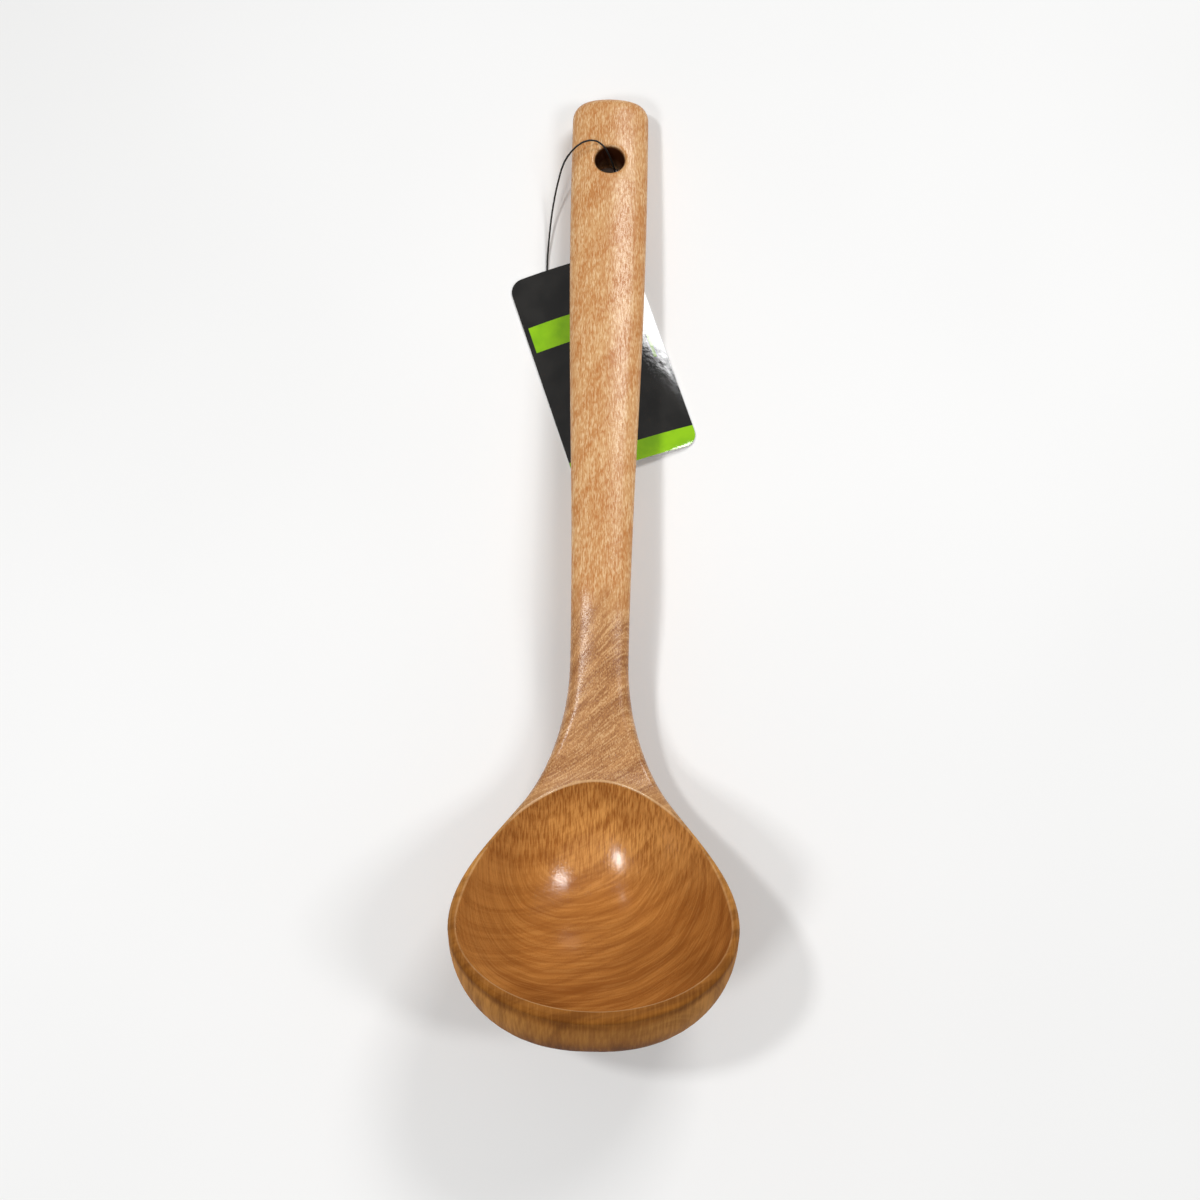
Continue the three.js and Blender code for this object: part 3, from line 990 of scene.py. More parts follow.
    def _spot(self, shade: Shade) -> Spot:
        """Coordinates and parts of the wood.

        Args:
            shade: Shader that takes the nodes.

        Returns:
            The place in the wood.
        """
        place = shade.place()
        across, along, above = shade.split(place)
        hollow = shade.mark(Mark.HOLLOW)
        wobble = shade.swing(place, self.wobble_scale, self.neck_wobble, detail=3.0)
        neck = (along + wobble).fall(*self.neck_span)
        shell = along.fall(*self.bowl_span) * (1.0 - hollow)
        rear = hollow * along.step(*self.rear_span)
        drift = shade.swing(place, self.warp_scale, self.ring_warp)
        past = (0.0 - along).at_least(0.0)
        bend = past * past * self.slant_bend
        return Spot(
            place=place,
            across=across,
            along=along,
            above=above,
            depth=shade.vector("DOT_PRODUCT", place, {1: self.ring_normal}) + drift,
            slant=along * self.slant_along - across - bend - above * self.slant_above,
            neck=neck,
            on_neck=neck * (1.0 - hollow) * (1.0 - shell),
            shell=shell,
            hollow=hollow,
            rear=rear,
            fore=hollow - rear,
        )

    def _flecks(self, shade: Shade, spot: Spot) -> Flecks:
        """What the grain draws on each part of the spoon.

        Args:
            shade: Shader that takes the nodes.
            spot: Place in the wood.

        Returns:
            The shares of the grain's marks.
        """
        axes = spot.across, spot.along, spot.above
        dashes = Grain.DASHES.at(shade, *axes)
        fibres = Grain.FIBRES.at(shade, *axes)
        dots = Grain.DOTS.at(shade, *axes)
        streaks = Grain.STREAKS.at(shade, *axes)
        strokes = Grain.STROKES.at(shade, *axes)
        threads = Grain.THREADS.at(shade, spot.slant, spot.across + spot.along, spot.above)
        lines = Grain.LINES.at(shade, spot.depth, spot.across, spot.along)
        off_neck = 1.0 - spot.neck
        fleck = (dashes * self.dash_share + fibres * (1 - self.dash_share)) * off_neck
        fleck = fleck + (dots * self.dot_share + threads * (1 - self.dot_share)) * spot.on_neck
        fleck = fleck + streaks * spot.rear + strokes * spot.shell + lines * spot.fore
        tick = dashes * off_neck + dots * spot.on_neck + streaks * spot.rear + dots * spot.fore
        drawn = shade.joined(self.cloud_scale, spot.slant, spot.along)
        cloud = shade.noise(drawn, detail=5.0, rough=0.62).step(*self.cloud_span)
        amount = self.flecks.at(spot)
        return Flecks(
            cloud=cloud,
            dark=fleck.step(*self.dark_span) * amount,
            pale=fleck.fall(*self.pale_span) * amount,
            tick=tick.step(*self.tick_span) * cloud.lifted(self.tick_floor),
        )

    def _wood(self, shade: Shade, spot: Spot, flecks: Flecks) -> Sock:
        """Colour of the clean wood.

        Args:
            shade: Shader that takes the nodes.
            spot: Place in the wood.
            flecks: What the grain draws there.

        Returns:
            The colour.
        """
        tones = (astuple(tone) for tone in (self.handle, self.neck, self.shell, self.hollow))
        ground, light, deep = (self._toned(shade, spot, colours) for colours in zip(*tones))
        outer = (1.0 - spot.hollow) * (1.0 - spot.shell)
        ringed = (spot.hollow + self.shell_rings * spot.shell).clipped()
        rings = self.rings.at(shade, spot.depth) * ringed * self.rings.strength
        bands = self.bands.at(shade, spot.slant) * outer * self.bands.strength
        veins = self.veins.at(shade, spot.slant) * outer * self.veins.strength
        under = self.rim_level - spot.along * self.rim_slope - spot.above
        # Painted shade: the outer wall darker the deeper it lies under the rim.
        low = spot.shell * under.step(*self.painted_low_shade_span) * self.painted_low_shade
        # Pale flecks and pale wood, with painted light and sheen on the bowl.
        pale = (flecks.pale * self.pale_strength + self.pale_wood_and_painted_light.at(spot, under)).clipped()
        wood = shade.mix(flecks.cloud * self.clouds.at(spot) + bands + low, ground, deep)
        wood = shade.mix(rings + veins, wood, deep)
        wood = shade.mix(pale * (1.0 - self.pale_loss * flecks.cloud), wood, light)
        wood = shade.mix(flecks.dark * flecks.cloud.lifted(self.dark_floor), wood, deep)
        return shade.mix(flecks.tick * self.ticks.at(spot), wood, deep)

    @staticmethod
    def _toned(shade: Shade, spot: Spot, colours: Sequence[Colour]) -> Sock:
        """One colour of the tones, by the part of the spoon.

        Args:
            shade: Shader that takes the nodes.
            spot: Place in the wood.
            colours: That colour on the handle, neck, shell and hollow.

        Returns:
            The colour.
        """
        handle, neck, shell, hollow = colours
        colour = shade.mix(spot.neck, handle, neck)
        colour = shade.mix(spot.shell, colour, shell)
        return shade.mix(spot.hollow, colour, hollow)


@dataclass(frozen=True)
class Section:
    """Point numbers of one closed section of the handle or neck."""

    top: list[int]
    right: list[int]
    under: list[int]
    left: list[int]

    def girdle(self) -> list[int]:
        """Numbers from the right end of the top down and round to its left end."""
        return self.right + self.under + self.left[::-1]

    def belly(self) -> list[int]:
        """Numbers below the upper edges, with the last of each edge."""
        return [self.right[-1], *self.under, self.left[-1]]


@dataclass(frozen=True)
class RimWearAndPaintedLight:
    """Marks round the bowl's rim, each by the run from its tip in millimetres: land tone, painted shade,
    and wear with a painted highlight.
    """

    land: float = 0.06
    land_span: Span = (55.0, 86.0)
    painted_shade_share: float = 0.15
    painted_shade_span: Span = (10.0, 45.0)
    edge_worn_and_lit: float = 0.12
    edge_rise: Span = (15.0, 40.0)
    edge_fall: Span = (55.0, 95.0)
    tip_worn_and_lit: float = 0.36
    side_loss: float = 0.26
    side_span: Span = (8.0, 30.0)
    neck_gain: float = 0.5
    neck_span: Span = (66.0, 84.0)

    def tone(self, run: float) -> float:
        """Share of the hollow's tone on the rim's land, none at the neck."""
        return self.land * (1 - smoothstep(run, *self.land_span))

    def stain(self, run: float) -> float:
        """Share of painted shade on the rim's outer edge and the outer part of its land: some round the
        front, none at the neck.
        """
        return self.painted_shade_share * (1 - smoothstep(run, *self.painted_shade_span))

    def edge(self, run: float) -> float:
        """Wear with a painted highlight on the rim's outer edge: a little at the sides."""
        return self.edge_worn_and_lit * smoothstep(run, *self.edge_rise) * (1 - smoothstep(run, *self.edge_fall))

    def brink(self, run: float) -> float:
        """Wear and a painted highlight on the hollow's brink: most at the neck, some at the tip, little
        at the sides.
        """
        sides = self.tip_worn_and_lit - self.side_loss * smoothstep(run, *self.side_span)
        return sides + self.neck_gain * smoothstep(run, *self.neck_span)


@dataclass
class WokSpoon:
    """Spoon carved from one piece: flat handle, bent neck and deep bowl; millimetres and degrees."""

    # Face line: its straight lengths and the bends between them.
    handle_length: float = 191.0
    neck_length: float = 59.5
    rim_length: float = 91.0
    neck_drop: float = 12.0
    neck_bend_radius: float = 70.0
    rim_rise: float = 43.0
    rim_bend_radius: float = 27.0
    # Handle and neck.
    handle_width: float = 27.6
    handle_thickness: float = 15.0
    handle_edge_radius: float = 5.0
    handle_full_run: float = 20.0
    handle_hold: float = 90.0
    end_corner_radius: float = 8.0
    end_edge_radius: float = 4.5
    neck_width: float = 19.2
    neck_thickness: float = 13.0
    neck_hold: float = 65.0
    # Outside of the bowl; a run is a length along the face from the tip.
    bowl_width: float = 86.4
    bowl_depth: float = 45.0
    widest_run: float = 34.5
    deepest_run: float = 44.5
    shoulder_run: float = 127.0
    shoulder_hold: float = 30.0
    shoulder_ease: float = 44.0
    keel_fullness: float = 2.15
    keel_run: float = 103.0
    keel_hold: float = 30.0
    keel_ease: float = 22.0
    lean_start: float = 57.0
    lean_end: float = 119.0
    belly_run: float = 71.0
    belly_fullness: float = 2.3
    rim_edge_radius: float = 1.2
    sole_share: float = 0.04
    belly_share: float = 0.95
    edge_share: float = 0.4
    # Hollow.
    rim_land: float = 2.5
    tip_land: float = 4.0
    floor_thickness: float = 5.5
    hollow_length: float = 84.2
    hollow_fullness: float = 2.1
    hollow_front_fullness: float = 2.4
    hollow_rear_fullness: float = 1.9
    hollow_shoulder: float = 1.6
    hollow_edge_radius: float = 0.7
    # Crown of the handle's face.
    handle_crown: float = 15.0
    crown_start: float = 99.0
    crown_full: float = 139.0
    # Hanging hole: its size, the shares of its depth that have a ring, and the painted shade inside it.
    hole_diameter: float = 10.5
    hole_setback: float = 27.0
    hole_edge_radius: float = 1.5
    hole_stops: tuple[float, ...] = (0.3, 1.0)
    hole_painted_shade: Span = (0.1, 1.2)
    back_painted_shade: float = 4.0
    # Rest on the table.
    tilt: float = -3.7684
    rest_along: float = 166.8115
    rest_above: float = 14.5599
    # Mesh: the bowl's first row, and the spacing and number of points.
    collar_run: float = 99.0
    collar_ease: float = 24.0
    slope_step: float = 0.1
    # Distances between which the underside's points go over to even spacing.
    even_span: Span = (54.0, 135.0)
    end_steps: int = 9
    lead_steps: int = 3
    top_steps: int = 14
    edge_steps: int = 7
    wall_steps: int = 2
    belly_steps: int = 9
    belly_samples: int = 48
    nose_steps: int = 18
    flank_steps: int = 30
    face_rings: int = 5
    hollow_rings: int = 26
    round_steps: int = 4
    handle_step: float = 4.0
    neck_step: float = 2.2
    wear: RimWearAndPaintedLight = field(default_factory=RimWearAndPaintedLight)
    finish: CarvedWood = field(default_factory=CarvedWood)

    def __post_init__(self) -> None:
        """Work out the runs of the face as lengths and curvatures."""
        drop, rise = math.radians(self.neck_drop), math.radians(self.rim_rise)
        neck_tangent = self.neck_bend_radius * math.tan(drop / 2)
        rim_tangent = self.rim_bend_radius * math.tan(rise / 2)
        self.rim_straight = self.rim_length - rim_tangent
        self.face_runs = (
            (self.handle_length - neck_tangent, 0.0),
            (self.neck_bend_radius * drop, -1 / self.neck_bend_radius),
            (self.neck_length - neck_tangent - rim_tangent, 0.0),
            (self.rim_bend_radius * rise, 1 / self.rim_bend_radius),
            (self.rim_straight, 0.0),
        )
        self.face_length = sum(length for length, _ in self.face_runs)

    def face_at(self, distance: float) -> tuple[float, float, float]:
        """Place and slope of the face.

        Args:
            distance: Distance along the face from the handle end.

        Returns:
            Along, height and slope.
        """
        y = z = slope = 0.0
        left = distance
        for length, curvature in self.face_runs:
            step = min(left, length)
            turn = curvature * step
            chord = 2 * math.sin(turn / 2) / curvature if curvature else step
            y -= chord * math.cos(slope + turn / 2)
            z += chord * math.sin(slope + turn / 2)
            slope += turn
            left -= step
        return y, z, slope

    def lean_at(self, distance: float) -> float:
        """Lean of a section: square to the face, turning evenly from neck to bowl.

        Args:
            distance: Distance from the handle end.

        Returns:
            The lean in radians.
        """
        run = self.face_length - distance
        if run > self.lean_end:
            return self.face_at(distance)[2]
        share = smoothstep(run, self.lean_start, self.lean_end)
        return math.radians(lerp(self.rim_rise - self.neck_drop, -self.neck_drop, share))

    def on_face(self, x: float, run: float, level: float = 0.0, lean_run: float | None = None) -> Vector:
        """Point over the face.

        Args:
            x: Place across.
            run: Run along the face from the tip.
            level: Height over the face.
            lean_run: Run whose section's lean the height follows, if not the same.

        Returns:
            The point in the spoon's own frame.
        """
        y, z, _ = self.face_at(self.face_length - run)
        lean = self.lean_at(self.face_length - (run if lean_run is None else lean_run))
        return Vector((x, y + level * math.sin(lean), z + level * math.cos(lean)))

    @staticmethod
    def drawn_in(distance: float, radius: float) -> float:
        """Distance that a rounded end draws in at a distance from that end."""
        return radius * (1 - quarter(1 - min(1.0, distance / radius)))

    def half_width(self, distance: float) -> float:
        """Half the width of a section.

        Args:
            distance: Distance from the handle end.

        Returns:
            Half the width.
        """
        run = self.face_length - distance
        bowl, neck = self.bowl_width / 2, self.neck_width / 2
        if run < self.widest_run:
            return bowl * quarter(1 - run / self.widest_run)
        if run < self.shoulder_run:
            start, end = self.widest_run, self.shoulder_run
            runs = (start, start + self.shoulder_hold, end - self.shoulder_ease, end)
            return ease(run, runs, bowl, neck)
        waist = self.face_length - self.shoulder_run
        start = self.handle_full_run
        runs = (start, start + self.handle_hold, waist - self.neck_hold, waist)
        width = ease(distance, runs, self.handle_width / 2, neck)
        return width - self.drawn_in(distance, self.end_corner_radius)

    def depth(self, distance: float) -> float:
        """Depth of a section from the face to the underside.

        Args:
            distance: Distance from the handle end.

        Returns:
            The depth.
        """
        run = self.face_length - distance
        if run < self.deepest_run:
            return self.bowl_depth * quarter(1 - run / self.deepest_run, self.keel_fullness)
        if run < self.keel_run:
            start, end = self.deepest_run, self.keel_run
            runs = (start, start + self.keel_hold, end - self.keel_ease, end)
            return ease(run, runs, self.bowl_depth, self.neck_thickness)
        share = distance / (self.face_length - self.keel_run)
        return lerp(self.handle_thickness, self.neck_thickness, share)

    def edge(self, distance: float) -> float:
        """Radius of the upper edges of a section.

        Args:
            distance: Distance from the handle end.

        Returns:
            The radius.
        """
        inset = self.drawn_in(distance, self.end_edge_radius)
        height = self.depth(distance) - 2 * inset
        wanted = lerp(self.handle_edge_radius, self.rim_edge_radius, self.bowl_share(distance))
        return min(wanted, self.edge_share * self.half_width(distance), self.edge_share * height)

    def bowl_share(self, distance: float) -> float:
        """Share of the bowl's round belly in a section."""
        return 1 - smoothstep(self.face_length - distance, self.belly_run, self.shoulder_run)

    def underside(self, distance: float) -> list[Plan]:
        """Points below the upper edges of a section, from its right side round to its left.

        Args:
            distance: Distance from the handle end.

        Returns:
            Places across and levels, without the two ends.
        """
        bowl = self.bowl_share(distance)
        inset = self.drawn_in(distance, self.end_edge_radius)
        side = self.half_width(distance)
        height = self.depth(distance) - 2 * inset
        edge = self.edge(distance)
        across = lerp(edge, (1 - self.sole_share) * side, bowl)
        up = lerp(edge, self.belly_share * (height - edge), bowl)
        power = 2 / lerp(2, self.belly_fullness, bowl)
        half = [(side, -inset - edge)]
        for angle in quarter_turns(self.belly_samples):
            x = side - across * (1 - max(0.0, math.cos(angle)) ** power)
            half.append((x, -inset - height + up - up * math.sin(angle) ** power))
        line = half + [(-x, level) for x, level in reversed(half)]
        wall = height - edge - up
        curve = sum(math.dist(a, b) for a, b in zip(half[1:], half[2:]))
        flat = 2 * half[-1][0]
        total = 2 * (wall + curve) + flat
        cuts = spread(0, wall, self.wall_steps)[1:]
        cuts += spread(wall, wall + curve, self.belly_steps)[1:]
        cuts += spread(wall + curve, wall + curve + flat, self.top_steps)[1:-1]
        cuts += [total - cut for cut in reversed(cuts[: self.wall_steps + self.belly_steps])]
        even = spread(0, total, len(cuts) + 1)[1:-1]
        share = smoothstep(distance, *self.even_span)
        return resample(line, [lerp(a, b, share) for a, b in zip(cuts, even)])

    def crown_at(self, distance: float) -> float:
        """Slope of the crowned face where it meets its rounded edges, none at the bowl."""
        rise = smoothstep(self.face_length - distance, self.crown_start, self.crown_full)
        return math.tan(math.radians(self.handle_crown)) * rise

    def top_level(self, x: float, distance: float) -> float:
        """Level of the crowned face.

        Args:
            x: Place across.
            distance: Distance from the handle end.

        Returns:
            The level over the flat face.
        """
        reach = self.half_width(distance) - self.edge(distance)
        inset = self.drawn_in(distance, self.end_edge_radius)
        return -inset - self.crown_at(distance) * x * x / (2 * reach)

    def upper_edge(self, distance: float) -> list[Plan]:
        """Right upper edge of a section, turning smoothly from the crowned face to the side.

        Args:
            distance: Distance from the handle end.

        Returns:
            Places across and levels.
        """
        edge, side = self.edge(distance), self.half_width(distance)
        slope = self.crown_at(distance)
        inset = self.drawn_in(distance, self.end_edge_radius)
        fall = edge - slope * (side - edge) / 2
        turned = slope * edge / (fall - slope * edge)
        start = math.asin(turned)
        across, up = edge / (1 - turned), fall / math.cos(start)
        return [
            (side - across * (1 - math.sin(angle)), up * math.cos(angle) - edge - inset)
            for angle in spread(start, math.pi / 2, self.edge_steps)
        ]

    def build(self) -> bpy.types.Object:
        """Make the spoon.

        Returns:
            The spoon.
        """
        skin = Skin()
        collar = self._handle(skin)
        self._bowl(skin, collar)
        place = Matrix.Translation((0, self.rest_along, self.rest_above))
        place @= Matrix.Rotation(math.radians(self.tilt), 4, "X")
        skin.move(place)
        spoon = skin.build("carved_spoon", [self.finish.material()])
        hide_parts("spoon_body")
        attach(spoon, "spoon")
        return spoon

    def _distances(self) -> tuple[list[float], int, int]:
        """Distances of the closed sections from the handle end to the collar of the bowl.

        Returns:
            The distances, and the numbers of the first and last section beside the hole.
        """
        distances = [fall for _, fall in rounded(self.end_corner_radius, self.end_steps)]
        reach = self.half_width(self.hole_setback) - self.edge(self.hole_setback)
        distances += spread(distances[-1], self.hole_setback - reach, self.lead_steps)[1:]
        first = len(distances) - 1
        distances += spread(distances[-1], self.hole_setback + reach, self.top_steps)[1:]
        last = len(distances) - 1
        bend = self.face_runs[0][0]
        distances += spread(distances[-1], bend, round((bend - distances[-1]) / self.handle_step))[1:]
        collar = self.face_length - self.collar_run
        distances += spread(bend, collar, round((collar - bend) / self.neck_step))[1:]
        return distances, first, last

    def _section(self, skin: Skin, distance: float) -> Section:
        """Add one closed section of the handle or neck.

        Args:
            skin: Skin that takes the points.
            distance: Distance from the handle end.

        Returns:
            The section.
        """
        run = self.face_length - distance
        right = self.upper_edge(distance)
        reach = right[0][0]
        places = spread(-reach, reach, self.top_steps)
        top = skin.row(self.on_face(x, run, self.top_level(x, distance)) for x in places)
        right_row = skin.row(self.on_face(x, run, z) for x, z in right[1:])
        under = skin.row(self.on_face(x, run, z) for x, z in self.underside(distance))
        left_row = skin.row(self.on_face(-x, run, z) for x, z in right[1:])
        return Section(top, [top[-1], *right_row], under, [top[0], *left_row])

    def _handle(self, skin: Skin) -> Section:
        """Add handle and neck with the hanging hole.

        Args:
            skin: Skin that takes them.

        Returns:
            The last section, where the bowl begins.
        """
        distances, first, last = self._distances()
        sections = [self._section(skin, distance) for distance in distances]
        start = self.wall_steps + self.belly_steps - 1
        flat = slice(start, start + self.top_steps + 1)
        for number, pair in enumerate(zip(sections, sections[1:])):
            if first <= number < last:
                skin.loft([section.right for section in pair])
                skin.loft([section.left for section in pair])
                skin.loft([section.belly()[: flat.start + 2] for section in pair])
                skin.loft([section.belly()[flat.stop :] for section in pair])
            else:
                skin.loft([section.top for section in pair])
                skin.loft([section.girdle() for section in pair])
        rim = sections[0].top + sections[0].girdle()[1:-1]
        skin.fan(rim, sum((skin.points[i] for i in rim), Vector()) / len(rim))
        block = sections[first : last + 1]
        tops = border([section.top for section in block])
        backs = border([section.under[flat][::-1] for section in block])
        self._drill(skin, tops, backs)
        return sections[-1]

    def _drill(self, skin: Skin, tops: Sequence[int], backs: Sequence[int]) -> None:
        """Add the hanging hole with its rounded edges.

        Args:
            skin: Skin that takes it.
            tops: Point numbers round the block of the face that it goes through.
            backs: Point numbers round the block of the back.
        """
        radius, flare = self.hole_diameter / 2, self.hole_edge_radius
        angles = [math.atan2(skin.points[i].y + self.hole_setback, skin.points[i].x) for i in tops]

        def ring(reach: float, rise: float, back: bool, share: float) -> list[int]:
            """Add a ring of the hole.

            Args:
                reach: Its distance from the hole's axis.
                rise: Its depth from the face or the back.
                back: Whether that is the back.
                share: Share of the painted shade.

            Returns:
                The numbers of its points.
            """
            points = []
            for angle in angles:
                y = reach * math.sin(angle) - self.hole_setback
                x = reach * math.cos(angle)
                z = rise - self.depth(-y) if back else self.top_level(x, -y) - rise
                points.append(Vector((x, y, z)))
            return skin.row(points, stain=repeat(share))

        flares = [(radius + out, fall) for out, fall in rounded(flare, self.round_steps)]
        inner = [(radius, lerp(flare, self.handle_thickness / 2, share)) for share in self.hole_stops]
        rings = [list(tops)]
        # Painted shade deepens into the hole from the face and from the back.
        for reach, rise in flares + inner:
            rings.append(ring(reach, rise, False, smoothstep(rise, *self.hole_painted_shade)))
        for reach, rise in inner[:1] + flares[::-1]:
            rings.append(ring(reach, rise, True, min(1.0, rise / self.back_painted_shade)))
        skin.loft([*rings, list(backs)], True)

    def _nose(self, half: float, length: float, start: float) -> Outline:
        """Right half of a round nose.

        Args:
            half: Half its width.
            length: Length from its tip to its widest place.
            start: Run of its tip.

        Returns:
            Place across, run, and the outward direction, from the tip to the widest place.
        """
        places = []
        for turn in quarter_turns(self.nose_steps):
            out = Vector((length * math.sin(turn), -half * math.cos(turn))).normalized()
            run = start + length * (1 - math.cos(turn))
            places.append((half * math.sin(turn), run, out.x, out.y))
        return places

    def _rim_places(self) -> Outline:
        """Outline of the bowl's face on its right side.

        Returns:
            Place across, run, and the outward direction, from the tip to just before the collar.
        """
        places = self._nose(self.bowl_width / 2, self.widest_run, 0.0)
        for run in spread(self.widest_run, self.collar_run, self.flank_steps)[1:-1]:
            distance = self.face_length - run
            step = self.slope_step
            widening = (self.half_width(distance + step) - self.half_width(distance - step)) / (2 * step)
            square = smoothstep(run, self.collar_run - self.collar_ease, self.collar_run)
            out = Vector((1, lerp(widening, 0, square))).normalized()
            places.append((self.half_width(distance), run, out.x, out.y))
        return places

    def _hollow_places(self) -> Outline:
        """Outline of the hollow in the rim's plane on its right side.

        Returns:
            Place across, run, and the outward direction, from the tip to the handle side.
        """
        half = self.bowl_width / 2 - self.rim_land
        nose = self.widest_run - self.tip_land
        rear = self.hollow_length - nose
        power = 2 / self.hollow_shoulder
        places = self._nose(half, nose, self.tip_land)
        for turn in quarter_turns(self.flank_steps + self.top_steps // 2)[1:]:
            rise = power * math.sin(turn) ** (power - 1) * math.cos(turn)
            out = Vector((rear * rise, half * math.sin(turn))).normalized()
            run = self.widest_run + rear * math.sin(turn) ** power
            places.append((half * math.cos(turn), run, out.x, out.y))
        return places

    def _sink(self, x: float, run: float) -> float:
        """Depth of the hollow under the rim's plane.

        Args:
            x: Place across.
            run: Run along the plane from the tip.

        Returns:
            The depth.
        """
        back = run - self.tip_land
        widest = self.widest_run - self.tip_land
        deepest = self.deepest_run - self.tip_land
        half = self.bowl_width / 2 - self.rim_land
        if back < widest:
            side = half * quarter(1 - back / widest)
        else:
            rear = (back - widest) / (self.hollow_length - widest)
            side = half * math.sqrt(max(0.0, 1 - rear**self.hollow_shoulder))
        if back < deepest:
            sink = quarter(1 - back / deepest, self.hollow_front_fullness)
        else:
            share = (back - deepest) / (self.hollow_length - deepest)
            sink = quarter(share, self.hollow_rear_fullness)
        sole = self.sole_share * side
        share = max(0.0, abs(x) - sole) / max(side - sole, TINY)
        return (self.bowl_depth - self.floor_thickness) * sink * quarter(share, self.hollow_fullness)

    def _over_rim(self, x: float, run: float, level: float) -> Vector:
        """Point over the rim's plane.

        Args:
            x: Place across.
            run: Run along the plane from the tip.
            level: Height over the plane.

        Returns:
            The point in the spoon's own frame.
        """
        y, z, slope = self.face_at(self.face_length)
        return Vector((
            x,
            y + run * math.cos(slope) + level * math.sin(slope),
            z - run * math.sin(slope) + level * math.cos(slope),
        ))

    def _face_level(self, run: float) -> float:
        """Level of the face over the rim's plane."""
        past = max(0.0, run - self.rim_straight)
        return self.rim_bend_radius - math.sqrt(self.rim_bend_radius**2 - past * past)

    def _bowl(self, skin: Skin, collar: Section) -> None:
        """Add the bowl: belly, rim and hollow.

        Args:
            skin: Skin that takes it.
            collar: Last section of the neck.
        """
        rights, lefts, bellies = [], [], []
        plans: list[Plan] = []
        turns = quarter_turns(self.edge_steps)
        for number, (x, run, out_x, out_run) in enumerate(self._rim_places()):
            distance = self.face_length - run
            profile = rounded(self.edge(distance) if number else self.rim_edge_radius, self.edge_steps)
            inner = profile[0][0]
            plans.append((x - out_x * inner, run - out_run * inner))
            worn_and_lit = [self.wear.edge(run) * math.sin(2 * turn) for turn in turns]
            rows = []
            for sign in (1, -1) if number else (1,):
                points = [
                    self.on_face(sign * (x - out_x * into), run - out_run * into, -fall, run)
                    for into, fall in profile
                ]
                rows.append(skin.row(points, wear=worn_and_lit, stain=repeat(self.wear.stain(run))))
            rights.append(rows[0])
            lefts.append(rows[-1])
            if number:
                under = skin.row(self.on_face(a, run, z) for a, z in self.underside(distance))
                bellies.append([rows[0][-1], *under, rows[-1][-1]])
            else:
                bellies.append([rows[0][-1]] * len(collar.belly()))
        rights.append(collar.right)
        lefts.append(collar.left)
        bellies.append(collar.belly())
        for rows in (rights, lefts, bellies):
            skin.loft(rows)
        reach = self.upper_edge(self.face_length - self.collar_run)[0][0]
        outer = [row[0] for row in lefts] + collar.top[1:-1] + [row[0] for row in rights[:0:-1]]
        plan = [(-x, run) for x, run in plans]
        plan += [(x, self.collar_run) for x in spread(-reach, reach, self.top_steps)]
        plan += plans[:0:-1]
        self._dish(skin, outer, plan)

    def _dish(self, skin: Skin, outer: Sequence[int], plan: Sequence[Plan]) -> None:
        """Add the rim's land and the hollow inside it.

        Args:
            skin: Skin that takes them.
            outer: Point numbers round the land's outer edge.
            plan: Places across and runs of those points.
        """
        right = self._hollow_places()
        outline = [(-x, run, -ox, oy) for x, run, ox, oy in right] + right[-2:0:-1]
        runs = [run for _, run, _, _ in outline]
        radius = self.hollow_edge_radius
        rings = [list(outer)]
        brink: list[Plan] = []
        for x, run, out_x, out_run in outline:
            over = run + out_run * radius
            past = max(0.0, over - self.rim_straight)
            bent = self.rim_bend_radius * math.asin(past / self.rim_bend_radius) - past
            brink.append((x + out_x * radius, over + bent))
        for share in spread(0, 1, self.face_rings)[1:-1]:
            places = [
                (lerp(ax, bx, share), lerp(ar, br, share)) for (ax, ar), (bx, br) in zip(plan, brink)
            ]
            tones = [self.wear.tone(run) for _, run in places]
            # Painted shade on the outer part of the land at the front, fading inwards.
            painted_shades = [self.wear.stain(run) * (1 - share) for _, run in places]
            points = [self.on_face(x, run) for x, run in places]
            rings.append(skin.row(points, hollow=tones, stain=painted_shades))
        turns = quarter_turns(self.round_steps)
        for turn, (out, fall) in zip(turns, rounded(radius, self.round_steps)):
            points = [
                self._over_rim(x + ox * out, run + oy * out, self._face_level(run + oy * out) - fall)
                for x, run, ox, oy in outline
            ]
            tones = [lerp(self.wear.tone(run), 1, turn / turns[-1]) for run in runs]
            worn_and_lit = [self.wear.brink(run) * math.sin(2 * turn) for run in runs]
            rings.append(skin.row(points, hollow=tones, wear=worn_and_lit))
        middle = self.deepest_run
        for turn in quarter_turns(self.hollow_rings)[1:-1]:
            share = math.cos(turn) ** (2 / self.hollow_fullness)
            places = [(x * share, lerp(middle, run, share)) for x, run, _, _ in outline]
            points = [self._over_rim(x, run, -self._sink(x, run)) for x, run in places]
            rings.append(skin.row(points, hollow=repeat(1.0)))
        skin.loft(rings, True)
        skin.fan(rings[-1], self._over_rim(0, middle, -self._sink(0, middle)), hollow=[1.0])


@dataclass(frozen=True)
class Block:
    """Printed block between its left, right, lower and upper sides, in millimetres."""

    left: float
    right: float
    lower: float
    upper: float
    soft: float = 0.1

    def mask(self, across: Sock, along: Sock) -> Sock:
        """Share that is 1 on the block."""
        wide = across.between(self.left, self.right, self.soft)
        return wide * along.between(self.lower, self.upper, self.soft)


